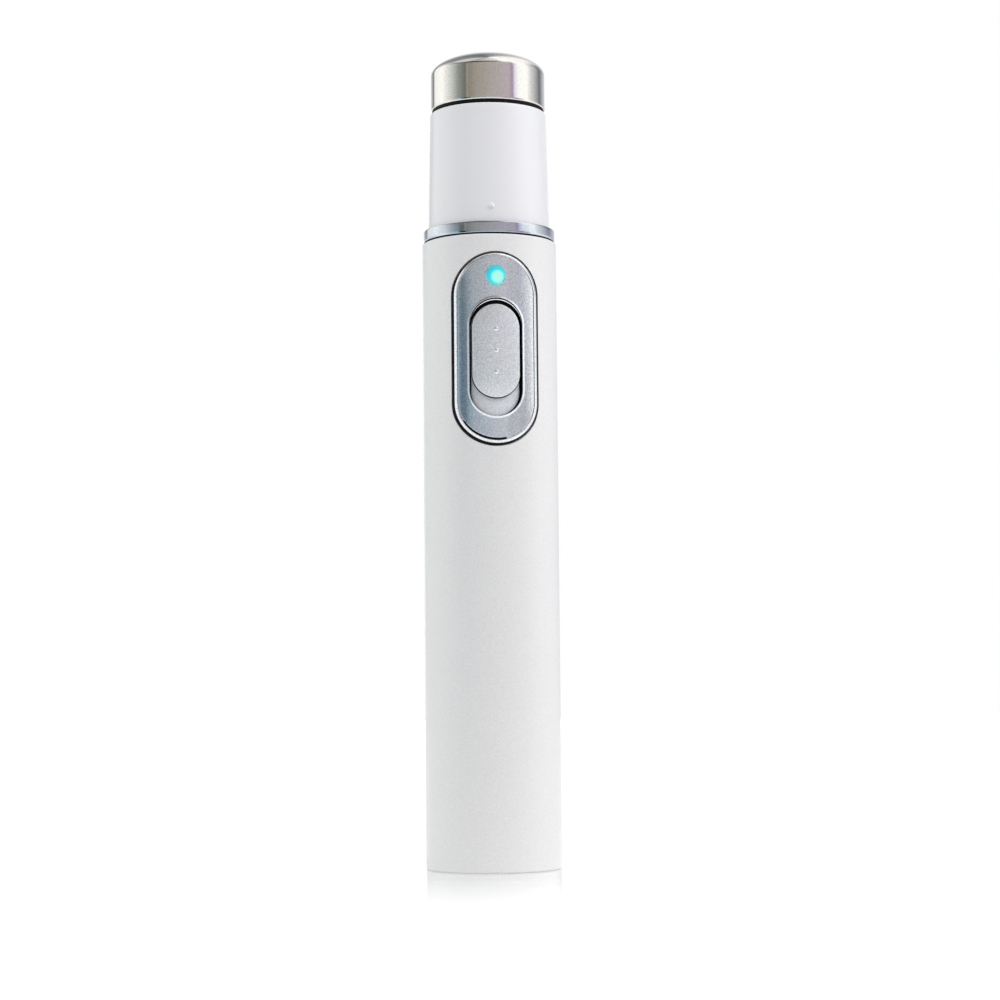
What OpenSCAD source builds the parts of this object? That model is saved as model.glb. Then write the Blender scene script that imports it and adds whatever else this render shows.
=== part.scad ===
// Blue light acne pen: a white wand with a polished treatment head, a slide switch on its front
// and one AAA cell inside. It stands on z = 0 with its axis on Z, and the switch faces -Y.

/* [Barrel] */
// Height of the barrel, from its standing rim to the collar ring
barrel_h = 103; // [102:0.5:106]
// Outer diameter of the barrel
barrel_d = 22.3; // [22:0.1:23]
// Wall of the barrel
barrel_wall = 1.8; // [1.7:0.05:1.9]
// Rounding of the barrel's outer edges
barrel_edge = 0.3; // [0.1:0.05:0.5]

/* [Neck and ring] */
// Height of the collar ring
ring_h = 2.1; // [1.6:0.1:3]
// Outer diameter of the collar ring
ring_d = 21.8; // [21:0.1:21.9]
// Height of the neck that shows above the ring
neck_h = 19.9; // [18:0.1:24]
// Diameter of the neck at the ring
neck_d = 20.1; // [19.6:0.1:20.6]
// Diameter of the neck at the head
neck_top_d = 19.3; // [19.2:0.05:19.6]
// Wall of the neck's spigot inside the barrel
spigot_wall = 0.8; // [0.7:0.05:1]
// Depth that the spigot reaches into the barrel
spigot_h = 12; // [11.5:0.25:12.5]
// Diameter of the locating pip on the neck
pip_d = 1; // [0.6:0.1:1.4]
// Height of the pip above the neck's lower edge
pip_up = 2.65; // [2:0.05:4]
// Angle of the pip from the switch's centre line
pip_angle = -2.6; // [-6:0.1:6]

/* [Head] */
// Height of the seal under the head
seal_h = 0.6; // [0.4:0.1:1]
// Outer diameter of the treatment head
head_d = 19; // [18.8:0.05:19.1]
// Height of the head's straight wall
head_wall_h = 5.9; // [5.4:0.1:7]
// Height of the head's dome
dome_h = 3.5; // [3.3:0.05:4]
// Thickness of the head's steel
head_t = 0.6; // [0.5:0.05:0.7]
// Diameter of the window in the dome
lens_d = 9.3; // [8.6:0.1:9.6]
// Thickness of the window's flange, behind the steel
lens_flange_t = 0.6; // [0.4:0.05:0.7]
// Circle on which the treatment LEDs' centres lie
led_circle_d = 5.4; // [5:0.1:6]
// Number of treatment LEDs
led_count = 3; // [3:1:4]

/* [Switch] */
// Length of the bezel
bezel_l = 31.4; // [31:0.1:32.4]
// Width of the bezel
bezel_w = 13.8; // [13.4:0.1:14.4]
// Distance from the barrel's top edge to the bezel's upper end
bezel_drop = 3.1; // [2.8:0.1:3.6]
// Height of the bezel's lips above the barrel
bezel_rise = 0.25; // [0.1:0.05:0.4]
// Rounding of the bezel's outer lip
bezel_edge = 0.6; // [0.4:0.05:0.7]
// Depth that the bezel's plate sinks into the barrel's wall
bezel_sink = 0.9; // [0.8:0.05:1]
// Length of the track that the button slides in
track_l = 19.2; // [19:0.1:19.8]
// Width of the track
track_w = 8.8; // [8.6:0.1:9.2]
// Depth of the track below the bezel's lips
track_depth = 1.05; // [0.9:0.05:1.1]
// Distance from the bezel's lower end to the track
track_foot = 4.7; // [4.5:0.1:4.9]
// Length of the slide button
button_l = 15.3; // [14.8:0.1:15.5]
// Width of the slide button
button_w = 7.8; // [7.4:0.1:8]
// Height of the button above the bezel's lips
button_rise = 0.3; // [0.1:0.05:0.6]
// Rounding of the button's edge
button_edge = 0.45; // [0.3:0.05:0.5]
// Travel of the button between off and on
travel = 2; // [1.5:0.1:2.2]
// Diameter of the grip dots on the button
dot_d = 0.7; // [0.5:0.05:0.9]
// Distance between the grip dots
dot_pitch = 3.5; // [3:0.1:4]

/* [Indicator] */
// Diameter of the indicator's light pipe
pipe_d = 3; // [2.6:0.1:3.2]
// Distance from the bezel's upper end to the indicator's centre
pipe_drop = 3.75; // [3.6:0.05:3.9]

/* [Board] */
// Distance from the pen's axis to the board's back face
board_seat = 3; // [2.9:0.05:3.1]
// Thickness of the circuit board
board_t = 1; // [0.8:0.1:1.2]
// Length of the slide switch's case
switch_l = 8.6; // [8.2:0.1:9]
// Width of the slide switch's case
switch_w = 3.7; // [3.5:0.1:4]
// Height of the slide switch's case above the board
switch_d = 3.5; // [3.3:0.1:3.6]
// Diameter of the lead wires
lead_d = 1; // [0.8:0.1:1.1]

/* [Battery] */
// Diameter of the AAA cell
cell_d = 10.5; // [10:0.1:10.6]
// Length of the AAA cell with its nipple
cell_l = 44.5; // [43.5:0.1:45]
// Wall of the cradle round the cell
cradle_wall = 1.15; // [1:0.05:1.25]
// Thickness of the contact strips
strip_t = 0.3; // [0.2:0.05:0.35]
// Width of the contact strips
strip_w = 3; // [2.6:0.1:3.2]

/* [Tail] */
// Depth of the tail cap's face inside the standing rim
cap_recess = 0.3; // [0.2:0.05:0.5]
// Thickness of the tail cap's flange
cap_flange = 1.2; // [1:0.1:1.5]
// Length of the tail cap's plug above the flange
plug_h = 5.7; // [5:0.1:6.5]
// Wall of the tail cap's plug
plug_wall = 1.5; // [1.2:0.1:1.8]
// Width of the standing rim round the tail cap
rim_w = 1.45; // [1.3:0.05:1.6]
// Width of the coin slot
coin_w = 1.7; // [1.4:0.1:2]
// Height of the tail spring, closed on the cell
spring_h = 3.9; // [3.6:0.1:4.5]
// Diameter of the spring's wire
wire_d = 0.6; // [0.5:0.05:0.7]
// Turns of the tail spring
spring_turns = 3; // [2.5:0.25:3.25]

/* [Fits] */
// Clearance round each part that is pushed into another
fit = 0.05; // [0.03:0.01:0.08]
// Clearance round each part that slides or turns
running = 0.1; // [0.06:0.01:0.1]
// Gap round the bezel and over the track
gap = 0.2; // [0.15:0.01:0.25]

/* [Hidden] */
$fn = 96;
eps = 0.01;
arc_steps = 20;

barrel_r = barrel_d / 2;
bore_r = barrel_r - barrel_wall;
z_neck = barrel_h + ring_h;
z_seal = z_neck + neck_h;
z_head = z_seal + seal_h;
z_dome = z_head + head_wall_h;

// Neck, seal and head
spigot_r = bore_r - fit;
neck_bore_r = spigot_r - spigot_wall;
z_spigot = barrel_h - spigot_h;
head_r = head_d / 2;
carrier_r = head_r - head_t - fit;
carrier_foot_r = neck_bore_r - running;
carrier_foot_h = 9.6;
carrier_wall = 1.2;
head_board_r = carrier_r - 1.75;
head_board_t = 1;
z_head_board = z_head + 1;
led_pack = [2.8, 3.5, 1.9];
led_lens_r = 1.2;
lens_r = lens_d / 2;
lens_lip = 0.9;
lens_flange_r = lens_r + lens_lip;
z_lens = z_dome + dome_h - head_t - 1.35;
cup_t = 0.9;

// Bezel, track and button, as radii and heights on the barrel's own cylinder
ledge_r = barrel_r - bezel_sink;
tub_r = bore_r + running;
lip_r = barrel_r + bezel_rise;
face_r = lip_r - 0.1;
track_r = lip_r - track_depth;
lip_step = 0.3;
track_lip = 0.3;
tub_inset = 1.5;
tub_w = bezel_w - 2 * tub_inset;
tub_l = bezel_l - 2 * tub_inset;
bezel_z = barrel_h - bezel_drop - bezel_l / 2;
track_z = bezel_z - bezel_l / 2 + track_foot + track_l / 2;
button_r = lip_r + button_rise;
button_z = track_z + travel / 2;
stem_w = 4.2;
stem_l = 5.4;
opening_w = stem_w + 2 * gap;
opening_l = stem_l + travel + 2 * gap;
foot_w = 6.6;
foot_l = 2.4;
foot_t = 0.8;
pipe_z = bezel_z + bezel_l / 2 - pipe_drop;
pipe_flange = 0.6;

// Board and what it carries
board_y = -(board_seat + board_t);
board_w = 2 * (sqrt(pow(neck_bore_r, 2) - pow(board_y, 2)) - gap);
switch_y = board_y - switch_d;
lever_w = 1.6;
lever_l = 1.5;
case_t = 0.3;
led_case = [3.2, 1.9, 2.8];

// Tail, cell and chassis, stacked up from the tail cap
z_flange = cap_recess + cap_flange;
z_counterbore = z_flange + fit;
cap_r = barrel_r - rim_w - running;
z_plate = z_flange + plug_h;
plate_t = 0.4;
z_spring = z_plate + plate_t;
z_cell = z_spring + spring_h + 0.1;
z_cell_top = z_cell + cell_l;
nipple_h = 1;
nipple_r = 1.9;
cap_pin_r = 1;
strip_room = 1.4;
z_chassis = z_spring + strip_room;
frame_r = bore_r - 0.15;
tail_bore_r = bore_r - 0.75;
plug_r = tail_bore_r - running;
plate_r = plug_r - 0.3;
cradle_r = cell_d / 2 + gap;
cradle_out_r = cradle_r + cradle_wall;
z_contact = z_cell_top + fit;
z_end_wall = z_contact + strip_t + fit;
wall_t = 1.2;
z_board = z_end_wall + wall_t + 1.3;
z_board_top = barrel_h - 3.5;
board_h = z_board_top - z_board;
chip_z = z_board + 0.74 * board_h;
diode_z = z_board + 0.58 * board_h;
inductor_z = z_board + 0.42 * board_h;
tab_h = 4.4;
strip_apart = 3.2;
strip_x = (strip_apart + strip_w) / 2;
contact_reach = 2.6;
tray_r = neck_bore_r - 0.15;
tray_wall = 1.2;
z_tray_top = barrel_h - 2.6;
rib_t = 1.2;
boss_r = 1.9;
screw_r = 0.9;
screw_places = [[0, z_board + 7.5], [-5, z_board_top - 5]];
lead_x = 2.4;
lead_r = lead_d / 2;
lead_y = -(board_seat - lead_r - fit);
lead_tail = 3.5;
lead_foot = z_board_top - lead_tail;

// Points of a quarter round about c, from angle a to angle b
function arc(c, r, a, b, steps = 6) =
    [for (i = [0:steps]) let (t = a + (b - a) * i / steps) c + r * [cos(t), sin(t)]];

// Points of an ellipse with half axes a and b above height z, from radius r1 to radius r2
function dome(a, b, z, r1, r2, steps = 16) =
    let (t1 = acos(r1 / a), t2 = acos(r2 / a))
    [for (i = [0:steps]) let (t = t1 + (t2 - t1) * i / steps) [a * cos(t), z + b * sin(t)]];

// A stadium outline of width w and length l about height z, laid on the cylinder of radius r
function stadium(w, l, z, r) = [
    for (end = [0, 1], i = [0:arc_steps])
        let (t = 180 * (end + i / arc_steps), x = w / 2 * cos(t))
        [x, -sqrt(r * r - x * x), z + (1 - 2 * end) * (l - w) / 2 + w / 2 * sin(t)]
];

// Outlines [w, l, z, r] that round an outer edge over, or an inner one down, by radius e
function round_over(w, l, z, r, e) =
    [for (t = [0:22.5:90]) let (in = 2 * e * (1 - cos(t))) [w - in, l - in, z, r - e + e * sin(t)]];
function round_down(w, l, z, r, e) =
    [for (t = [90:-30:0]) let (out = 2 * e * (1 - cos(t))) [w + out, l + out, z, r - e + e * sin(t)]];

// Outlines spread evenly between outline a and outline b
function between(a, b, count) = [for (i = [1:count]) a + (b - a) * i / (count + 1)];

// A closed ring of material whose section runs through the given outlines, round and back
module stadium_ring(outlines) {
    n = 2 * (arc_steps + 1);
    points = [for (o = outlines) each stadium(o[0], o[1], o[2], o[3])];
    faces = [
        for (k = [0:len(outlines) - 1], i = [0:n - 1])
            let (a = k * n, b = (k + 1) % len(outlines) * n, j = (i + 1) % n)
            each [[a + i, b + i, a + j], [a + j, b + i, b + j]]
    ];
    polyhedron(points, faces);
}

function unit(v) = v / norm(v);

// A round wire of radius r along a path, whose sections keep one axis square to ref
module wire(path, r, ref, sides) {
    n = len(path) - 1;
    points = [
        for (i = [0:n])
            let (
                along = unit(path[min(i + 1, n)] - path[max(i - 1, 0)]),
                u = unit(cross(along, ref)),
                v = cross(u, along)
            )
            for (k = [0:sides - 1])
                let (t = 360 * k / sides) path[i] + r * (cos(t) * u + sin(t) * v)
    ];
    faces = concat(
        [[for (k = [0:sides - 1]) k]],
        [[for (k = [sides - 1:-1:0]) n * sides + k]],
        [for (i = [0:n - 1], k = [0:sides - 1])
            let (a = i * sides, b = a + sides, j = (k + 1) % sides)
            each [[a + k, b + k, a + j], [a + j, b + k, b + j]]]);
    polyhedron(points, faces);
}

// A stadium prism that faces -Y, about height z
module slot(w, l, z, depth) {
    translate([0, 0, z]) rotate([90, 0, 0]) linear_extrude(depth) {
        square([w, l - w], center = true);
        for (s = [-1, 1]) translate([0, s * (l - w) / 2]) circle(d = w);
    }
}

module tube(r, bore, h) {
    difference() {
        cylinder(r = r, h = h);
        translate([0, 0, -eps]) cylinder(r = bore, h = h + 2 * eps);
    }
}

// A box from corner a to corner b
module box(a, b) translate(a) cube(b - a);

// A rod or a hole along Y at x and z, from y1 to y2
module along_y(r, x, z, y1, y2) translate([x, y2, z]) rotate([90, 0, 0]) cylinder(r = r, h = y2 - y1);

module barrel() {
    e = barrel_edge;
    color("white") difference() {
        rotate_extrude() polygon(concat(
            [[tail_bore_r, z_counterbore], [barrel_r - rim_w, z_counterbore], [barrel_r - rim_w, 0]],
            arc([barrel_r - e, e], e, -90, 0),
            arc([barrel_r - e, barrel_h - e], e, 0, 90),
            [[bore_r, barrel_h], [bore_r, z_chassis - fit], [tail_bore_r, z_chassis - fit]]));
        difference() {
            slot(bezel_w + 2 * gap, bezel_l + 2 * gap, bezel_z, barrel_r + 1);
            translate([0, 0, bezel_z - bezel_l]) cylinder(r = ledge_r, h = 2 * bezel_l);
        }
        slot(tub_w + 2 * gap, tub_l + 2 * gap, bezel_z, barrel_r + 1);
    }
}

module collar_ring() {
    r = ring_d / 2;
    color("silver") rotate_extrude() polygon(concat(
        [[bore_r, barrel_h]],
        arc([r - 0.4, barrel_h + 0.4], 0.4, -90, 0),
        arc([r - 0.75, z_neck - 0.75], 0.75, 0, 90),
        [[bore_r, z_neck]]));
}

module head_neck() {
    r = neck_d / 2;
    top = neck_top_d / 2;
    notch = bezel_w / 2;
    color("white") difference() {
        union() {
            rotate_extrude() polygon(concat(
                [[neck_bore_r, z_spigot], [spigot_r, z_spigot], [spigot_r, z_neck]],
                [[r - 0.2, z_neck], [r, z_neck + 0.2]],
                arc([top - 0.3, z_seal - 0.3], 0.3, 0, 90),
                [[neck_bore_r, z_seal]]));
            rotate([0, 0, pip_angle]) translate([0, 0.12 - r, z_neck + pip_up]) sphere(d = pip_d);
        }
        box([-notch, -barrel_r, z_spigot - eps], [notch, 0, barrel_h - bezel_drop + 1.3]);
    }
}

module head_seal() {
    color("black") translate([0, 0, z_seal])
        tube((head_d + neck_top_d) / 4, neck_bore_r, seal_h);
}

module treatment_head() {
    window_r = lens_r + fit;
    bore = head_r - head_t;
    color("gainsboro") rotate_extrude() polygon(concat(
        [[bore, z_head], [head_r, z_head]],
        dome(head_r, dome_h, z_dome, head_r, window_r),
        dome(bore, dome_h - head_t, z_dome, window_r, bore)));
}

module head_window() {
    color("lightcyan", 0.5) rotate_extrude() polygon(concat(
        [[0, z_lens], [lens_flange_r, z_lens], [lens_flange_r, z_lens + lens_flange_t]],
        [[lens_r, z_lens + lens_flange_t]],
        dome(head_r, dome_h, z_dome, lens_r, 0)));
}

// The cup stands on the LED board and carries the window's flange
module light_cup() {
    foot = z_head_board + head_board_t;
    mouth_r = lens_flange_r - cup_t;
    color("whitesmoke") rotate_extrude() polygon([
        [head_board_r - cup_t, foot], [head_board_r, foot], [head_board_r, foot + 0.8],
        [lens_flange_r, z_lens - 0.8], [lens_flange_r, z_lens], [mouth_r, z_lens]]);
}

module head_carrier() {
    seat_r = head_board_r + running;
    core_r = carrier_foot_r - carrier_wall;
    color("dimgray") rotate_extrude() polygon([
        [core_r, z_head - carrier_foot_h], [carrier_foot_r, z_head - carrier_foot_h],
        [carrier_foot_r, z_head], [carrier_r, z_head], [carrier_r, z_dome - 0.3],
        [seat_r, z_dome - 0.3], [seat_r, z_head_board], [seat_r - 1, z_head_board],
        [seat_r - 1, z_head - 1], [core_r, z_head - 1]]);
}

module led_board() {
    color("white") translate([0, 0, z_head_board]) difference() {
        cylinder(r = head_board_r, h = head_board_t);
        for (s = [-1, 1])
            translate([s * lead_x, 0, -eps]) cylinder(r = 0.4, h = head_board_t + 2 * eps);
    }
}

// Surface-mounted LEDs, turned to a point half a step round from the lead holes
module treatment_leds() {
    z = z_head_board + head_board_t;
    color("royalblue") for (i = [0:led_count - 1]) rotate([0, 0, 90 + 360 * i / led_count])
        translate([led_circle_d / 2, 0, z]) {
            translate([-led_pack[0] / 2, -led_pack[1] / 2, 0])
                cube([led_pack[0], led_pack[1], led_pack[2] - 0.4]);
            translate([0, 0, led_pack[2] - 0.5]) cylinder(r = led_lens_r, h = 0.5);
        }
}

// The plate's section runs over its outer lip, across the face, down into the track, through
// the floor and back under. Four hooks catch behind the barrel's wall.
module switch_bezel() {
    plate_r = ledge_r + fit;
    lip_in = 2 * (bezel_edge + lip_step);
    lip_out = 2 * (track_lip + lip_step);
    face_out = [bezel_w - lip_in, bezel_l - lip_in, bezel_z, face_r];
    face_in = [track_w + lip_out, track_l + lip_out, track_z, face_r];
    floor_out = [track_w, track_l, track_z, track_r];
    floor_in = [opening_w, opening_l, track_z, track_r];
    back_in = [opening_w, opening_l, track_z, tub_r];
    back_out = [tub_w, tub_l, bezel_z, tub_r];
    color("silver") {
        difference() {
            stadium_ring(concat(
                [[bezel_w, bezel_l, bezel_z, plate_r]],
                round_over(bezel_w, bezel_l, bezel_z, lip_r, bezel_edge),
                [face_out], between(face_out, face_in, 2), [face_in],
                round_down(track_w, track_l, track_z, lip_r, track_lip),
                [floor_out], between(floor_out, floor_in, 1), [floor_in],
                [back_in], between(back_in, back_out, 2), [back_out],
                [[tub_w, tub_l, bezel_z, plate_r]]));
            along_y(pipe_d / 2 + fit, 0, pipe_z, -lip_r - 1, 0);
        }
        for (side = [0, 1], up = [-1, 1]) mirror([side, 0, 0]) translate([0, 0, bezel_z + 7.5 * up])
            bezel_hook();
    }
}

// The leg hangs from the bezel's back, and its barb reaches outward under the barrel's bore
module bezel_hook() {
    leg = tub_w / 2;
    intersection() {
        translate([0, 0, -2]) tube(tub_r + 0.2, bore_r - 0.75, 4);
        box([leg - 1, -barrel_r, -2], [leg - 0.1, 0, 2]);
    }
    intersection() {
        translate([0, 0, -2]) tube(bore_r - running, bore_r - 0.75, 4);
        box([leg - 0.5, -barrel_r, -2], [leg + 0.8, 0, 2]);
    }
}

// A crowned pad with a rounded lip rides over the track, and its stem and feet hold it in
module slide_button() {
    under_r = track_r + 0.15;
    pad_r = button_r - 0.12;
    inner = 2 * (button_edge + 0.25);
    stem_end = -(switch_y - 0.5);
    color("silver") {
        stadium_ring(concat(
            [[button_w, button_l, button_z, under_r + 0.1]],
            round_over(button_w, button_l, button_z, button_r, button_edge),
            [[button_w - inner, button_l - inner, button_z, button_r - 0.08]],
            [[button_w - inner, button_l - inner, button_z, under_r + 0.1]]));
        intersection() {
            slot(button_w - 0.7, button_l - 0.7, button_z, barrel_r + 2);
            translate([0, 0, button_z - button_l]) tube(pad_r, under_r, 2 * button_l);
        }
        difference() {
            union() {
                intersection() {
                    slot(stem_w, stem_l, button_z, barrel_r + 2);
                    translate([0, 0, button_z - stem_l]) tube(under_r + 0.3, stem_end, 2 * stem_l);
                }
                intersection() {
                    box([-foot_w / 2, -barrel_r, button_z - foot_l / 2],
                        [foot_w / 2, 0, button_z + foot_l / 2]);
                    translate([0, 0, button_z - foot_l])
                        tube(tub_r - gap, tub_r - gap - foot_t, 2 * foot_l);
                }
            }
            box([-lever_w / 2 - fit, -stem_end - 1.9, button_z - lever_l / 2 - fit],
                [lever_w / 2 + fit, 0, button_z + lever_l / 2 + fit]);
        }
        for (i = [-1:1]) translate([0, -pad_r + dot_d / 5, button_z + i * dot_pitch])
            sphere(d = dot_d);
    }
}

module indicator_lens() {
    r = pipe_d / 2;
    tip = lip_r + 0.15;
    flange = sqrt(pow(tub_r, 2) - pow(r + 0.6, 2)) - fit;
    end = led_case[1] - board_y + 0.3;
    color("cyan") translate([0, 0, pipe_z]) rotate([90, 0, 0]) rotate_extrude() polygon(concat(
        [[0, end], [r, end], [r, flange - pipe_flange], [r + 0.6, flange - pipe_flange]],
        [[r + 0.6, flange], [r, flange]],
        arc([r - 0.3, tip - 0.3], 0.3, 0, 90),
        [[0, tip]]));
}

module indicator_led() {
    top = board_y - led_case[1];
    color("lightblue") difference() {
        box([-led_case[0] / 2, top, pipe_z - led_case[2] / 2],
            [led_case[0] / 2, board_y, pipe_z + led_case[2] / 2]);
        along_y(1.1, 0, pipe_z, top - eps, top + 0.5);
    }
}

// A half tube that is open in front of the board seat, between heights z1 and z2
module half_tube(r, bore, z1, z2) {
    intersection() {
        translate([0, 0, z1]) tube(r, bore, z2 - z1);
        box([-r, -board_seat, z1], [r, r, z2]);
    }
}

// Cradle for the cell below, tray for the board above, joined by the end wall
module inner_chassis() {
    tube_top = z_cell_top - 0.2;
    color("lightgray") difference() {
        union() {
            translate([0, 0, z_chassis]) tube(cradle_out_r, cradle_r, tube_top - z_chassis);
            for (z = [z_chassis, (z_chassis + z_end_wall) / 2])
                translate([0, 0, z]) tube(frame_r, cradle_r, rib_t);
            translate([0, 0, z_end_wall]) cylinder(r = frame_r, h = wall_t);
            intersection() {
                translate([0, 0, z_chassis]) tube(frame_r, cradle_out_r - 0.2, z_end_wall - z_chassis + eps);
                for (a = [45, 135]) rotate([0, 0, a])
                    box([-frame_r, -rib_t / 2, z_chassis], [frame_r, rib_t / 2, z_end_wall + eps]);
            }
            half_tube(tray_r, tray_r - tray_wall, z_end_wall + wall_t - eps, z_tray_top);
            for (z = [z_board + 12, z_spigot - rib_t - gap])
                half_tube(frame_r, tray_r - tray_wall, z, z + rib_t);
            for (z = [z_board + 4, z_board + 22, z_board_top - 9])
                half_tube(tray_r, tray_r - tray_wall - 1.6, z, z + rib_t);
            for (p = screw_places) intersection() {
                along_y(boss_r, p[0], p[1], -board_seat, tray_r);
                cylinder(r = tray_r - 0.2, h = z_tray_top);
            }
        }
        for (p = screw_places) along_y(screw_r + fit, p[0], p[1], -board_seat - eps, 2.5 - board_seat + 1);
        box([strip_x - strip_w / 2 - gap, -barrel_r, z_chassis - eps],
            [strip_x + strip_w / 2 + gap, -cradle_out_r + 0.1, z_end_wall + wall_t + eps]);
        box([-strip_x - strip_w / 2 - 0.1, board_y - strip_t - gap, z_end_wall - eps],
            [-strip_x + strip_w / 2 + 0.1, board_y + gap, z_end_wall + wall_t + eps]);
        // Moulding window in the cradle's front
        box([-3, -barrel_r, z_chassis + 5], [3, 0, (z_chassis + z_end_wall) / 2 - 3]);
        box([-3, -barrel_r, (z_chassis + z_end_wall) / 2 + 4], [3, 0, tube_top - 5]);
    }
}

module circuit_board() {
    color("darkgreen") difference() {
        box([-board_w / 2, board_y, z_board], [board_w / 2, -board_seat, z_board_top]);
        for (p = screw_places) along_y(screw_r + fit, p[0], p[1], board_y - eps, eps - board_seat);
    }
}

module board_screws() {
    color("silver") for (p = screw_places) translate([p[0], board_y, p[1]]) rotate([90, 0, 0])
        difference() {
            union() {
                translate([0, 0, -4]) cylinder(r = screw_r, h = 4.1);
                translate([0, 0, fit / 2]) cylinder(r1 = 1.7, r2 = 1.3, h = 1.1);
            }
            for (a = [0, 90]) rotate([0, 0, a]) translate([-1, -0.2, 0.7]) cube([2, 0.4, 1]);
        }
}

module switch_case() {
    color("saddlebrown") difference() {
        box([case_t - switch_w / 2, switch_y + case_t, track_z + case_t - switch_l / 2],
            [switch_w / 2 - case_t, board_y, track_z + switch_l / 2 - case_t]);
        box([-lever_w / 2 - 0.1, switch_y, track_z - (lever_l + travel) / 2 - 0.1],
            [lever_w / 2 + 0.1, switch_y + 2, track_z + (lever_l + travel) / 2 + 0.1]);
    }
}

// Bent steel cover over the case, with legs at its two ends
module switch_cover() {
    color("silver") difference() {
        box([-switch_w / 2, switch_y, track_z - switch_l / 2],
            [switch_w / 2, board_y, track_z + switch_l / 2]);
        box([case_t - switch_w / 2, switch_y + case_t, track_z + case_t - switch_l / 2],
            [switch_w / 2 - case_t, board_y + eps, track_z + switch_l / 2 - case_t]);
        box([-lever_w / 2 - 0.1, switch_y - eps, track_z - (lever_l + travel) / 2 - 0.1],
            [lever_w / 2 + 0.1, switch_y + 1, track_z + (lever_l + travel) / 2 + 0.1]);
        box([-switch_w, board_y - 1.2, track_z - switch_l / 4],
            [switch_w, board_y + eps, track_z + switch_l / 4]);
    }
}

module switch_lever() {
    color("black") box([-lever_w / 2, switch_y - 2.2, button_z - lever_l / 2],
        [lever_w / 2, switch_y + 1.8, button_z + lever_l / 2]);
}

// Ferrite drum with its winding between two flanges
module boost_inductor() {
    color("darkslategray") translate([0, -board_seat, inductor_z]) rotate([-90, 0, 0])
        rotate_extrude() polygon([[0, 0], [2.6, 0], [2.6, 0.6], [2.2, 0.6], [2.2, 2.4], [2.6, 2.4],
            [2.6, 3], [0, 3]]);
}

module driver_chip() {
    color("black") {
        box([-2, -board_seat + 0.1, chip_z - 2.5], [2, -board_seat + 1.6, chip_z + 2.5]);
        for (s = [-1, 1], i = [-1.5:1.5]) translate([s * 2.4, -board_seat, chip_z + 1.27 * i])
            translate([-0.5, 0, -0.2]) cube([1, 0.5, 0.4]);
    }
}

module filter_capacitor() {
    color("steelblue") translate([4, -board_seat, z_board + 8]) rotate([-90, 0, 0]) {
        cylinder(r = 2, h = 4.6);
        translate([0, 0, 0.6]) cylinder(r = 2.1, h = 3.6);
    }
}

module rectifier_diode() {
    color("black") translate([3.6, -board_seat, diode_z]) {
        box([-0.9, 0.1, -1.3], [0.9, 1.2, 1.3]);
        box([-0.5, 0, -1.8], [0.5, 0.5, 1.8]);
    }
}

// Up the board's back, over to the pen's axis in two equal bends, then up to the LED board
module lead(side, shade) {
    bend_r = 4;
    bend = acos(1 + lead_y / (2 * bend_r));
    z1 = z_board_top + 7;
    z2 = z1 + 2 * bend_r * sin(bend);
    route = concat(
        [[lead_y, lead_foot]],
        arc([lead_y + bend_r, z1], bend_r, 180, 180 - bend),
        arc([-bend_r, z2], bend_r, -bend, 0),
        [[0, z_head_board - fit]]);
    color(shade) wire([for (p = route) [side * lead_x, p[0], p[1]]], lead_r, [1, 0, 0], 8);
}

module lead_red() lead(1, "red");

module lead_black() lead(-1, "black");

module battery_cell() {
    r = cell_d / 2;
    body_h = cell_l - nipple_h;
    color("darkgoldenrod") translate([0, 0, z_cell]) rotate_extrude() polygon([
        [0, 0], [r - 0.3, 0], [r, 0.3], [r, body_h - 0.4], [r - 0.6, body_h],
        [nipple_r, body_h], [nipple_r, cell_l - 0.2], [nipple_r - 0.2, cell_l], [0, cell_l]]);
}

module positive_contact() {
    low = [-strip_x - strip_w / 2, board_y - fit - strip_t, z_contact];
    color("gold") {
        box(low, [contact_reach, contact_reach, z_contact + strip_t]);
        box(low, [strip_w / 2 - strip_x, board_y - fit, z_board + tab_h]);
    }
}

// One bent strip: a foot on the tail's plate, a run along the cradle and a tab on the board's front
module negative_strip() {
    t = strip_t;
    foot_z = z_spring + fit;
    run_y = -cradle_out_r - 0.1;
    tab_y = board_y - fit;
    bend_z = z_end_wall + wall_t + 0.9;
    color("gold") translate([strip_x + strip_w / 2, 0, 0]) rotate([90, 0, -90]) linear_extrude(strip_w)
        polygon([for (p = [
            [-cradle_r, foot_z], [run_y - t, foot_z], [run_y - t, bend_z + t], [tab_y - t, bend_z + t],
            [tab_y - t, z_board + tab_h], [tab_y, z_board + tab_h], [tab_y, bend_z],
            [run_y, bend_z], [run_y, foot_z + t], [-cradle_r, foot_z + t]
        ]) [-p[0], p[1]]]);
}

module contact_plate() {
    color("silver") translate([0, 0, z_plate + eps])
        tube(plate_r, cap_pin_r + running, plate_t - eps);
}

// Half-diameter of the spring's coil and height of its wire's centre, after a share s of its turns
spring_low_r = 4.2;
spring_high_r = 2.2;
function spring_at(s) = let (
    r = spring_low_r + (spring_high_r - spring_low_r) * s,
    rise = spring_h - wire_d - 2 * fit,
    t = 360 * spring_turns * s
) [r * cos(t), r * sin(t), z_spring + wire_d / 2 + fit + rise * s];

spring_steps = ceil(8 * spring_turns);
spring_path = [for (i = [0:spring_steps]) spring_at(i / spring_steps)];
turn_steps = floor(spring_steps / spring_turns);
spring_gap = min([for (i = [0:spring_steps], j = [0:spring_steps])
    if (abs(i - j) > turn_steps / 2) norm(spring_path[i] - spring_path[j])]) - wire_d;
echo(spring_gap = spring_gap);

// Conical spring of one unbroken wire, wide on the plate and narrow under the cell
module tail_spring() {
    color("silver") wire(spring_path, wire_d / 2, [0, 0, 1], 6);
}

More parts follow.
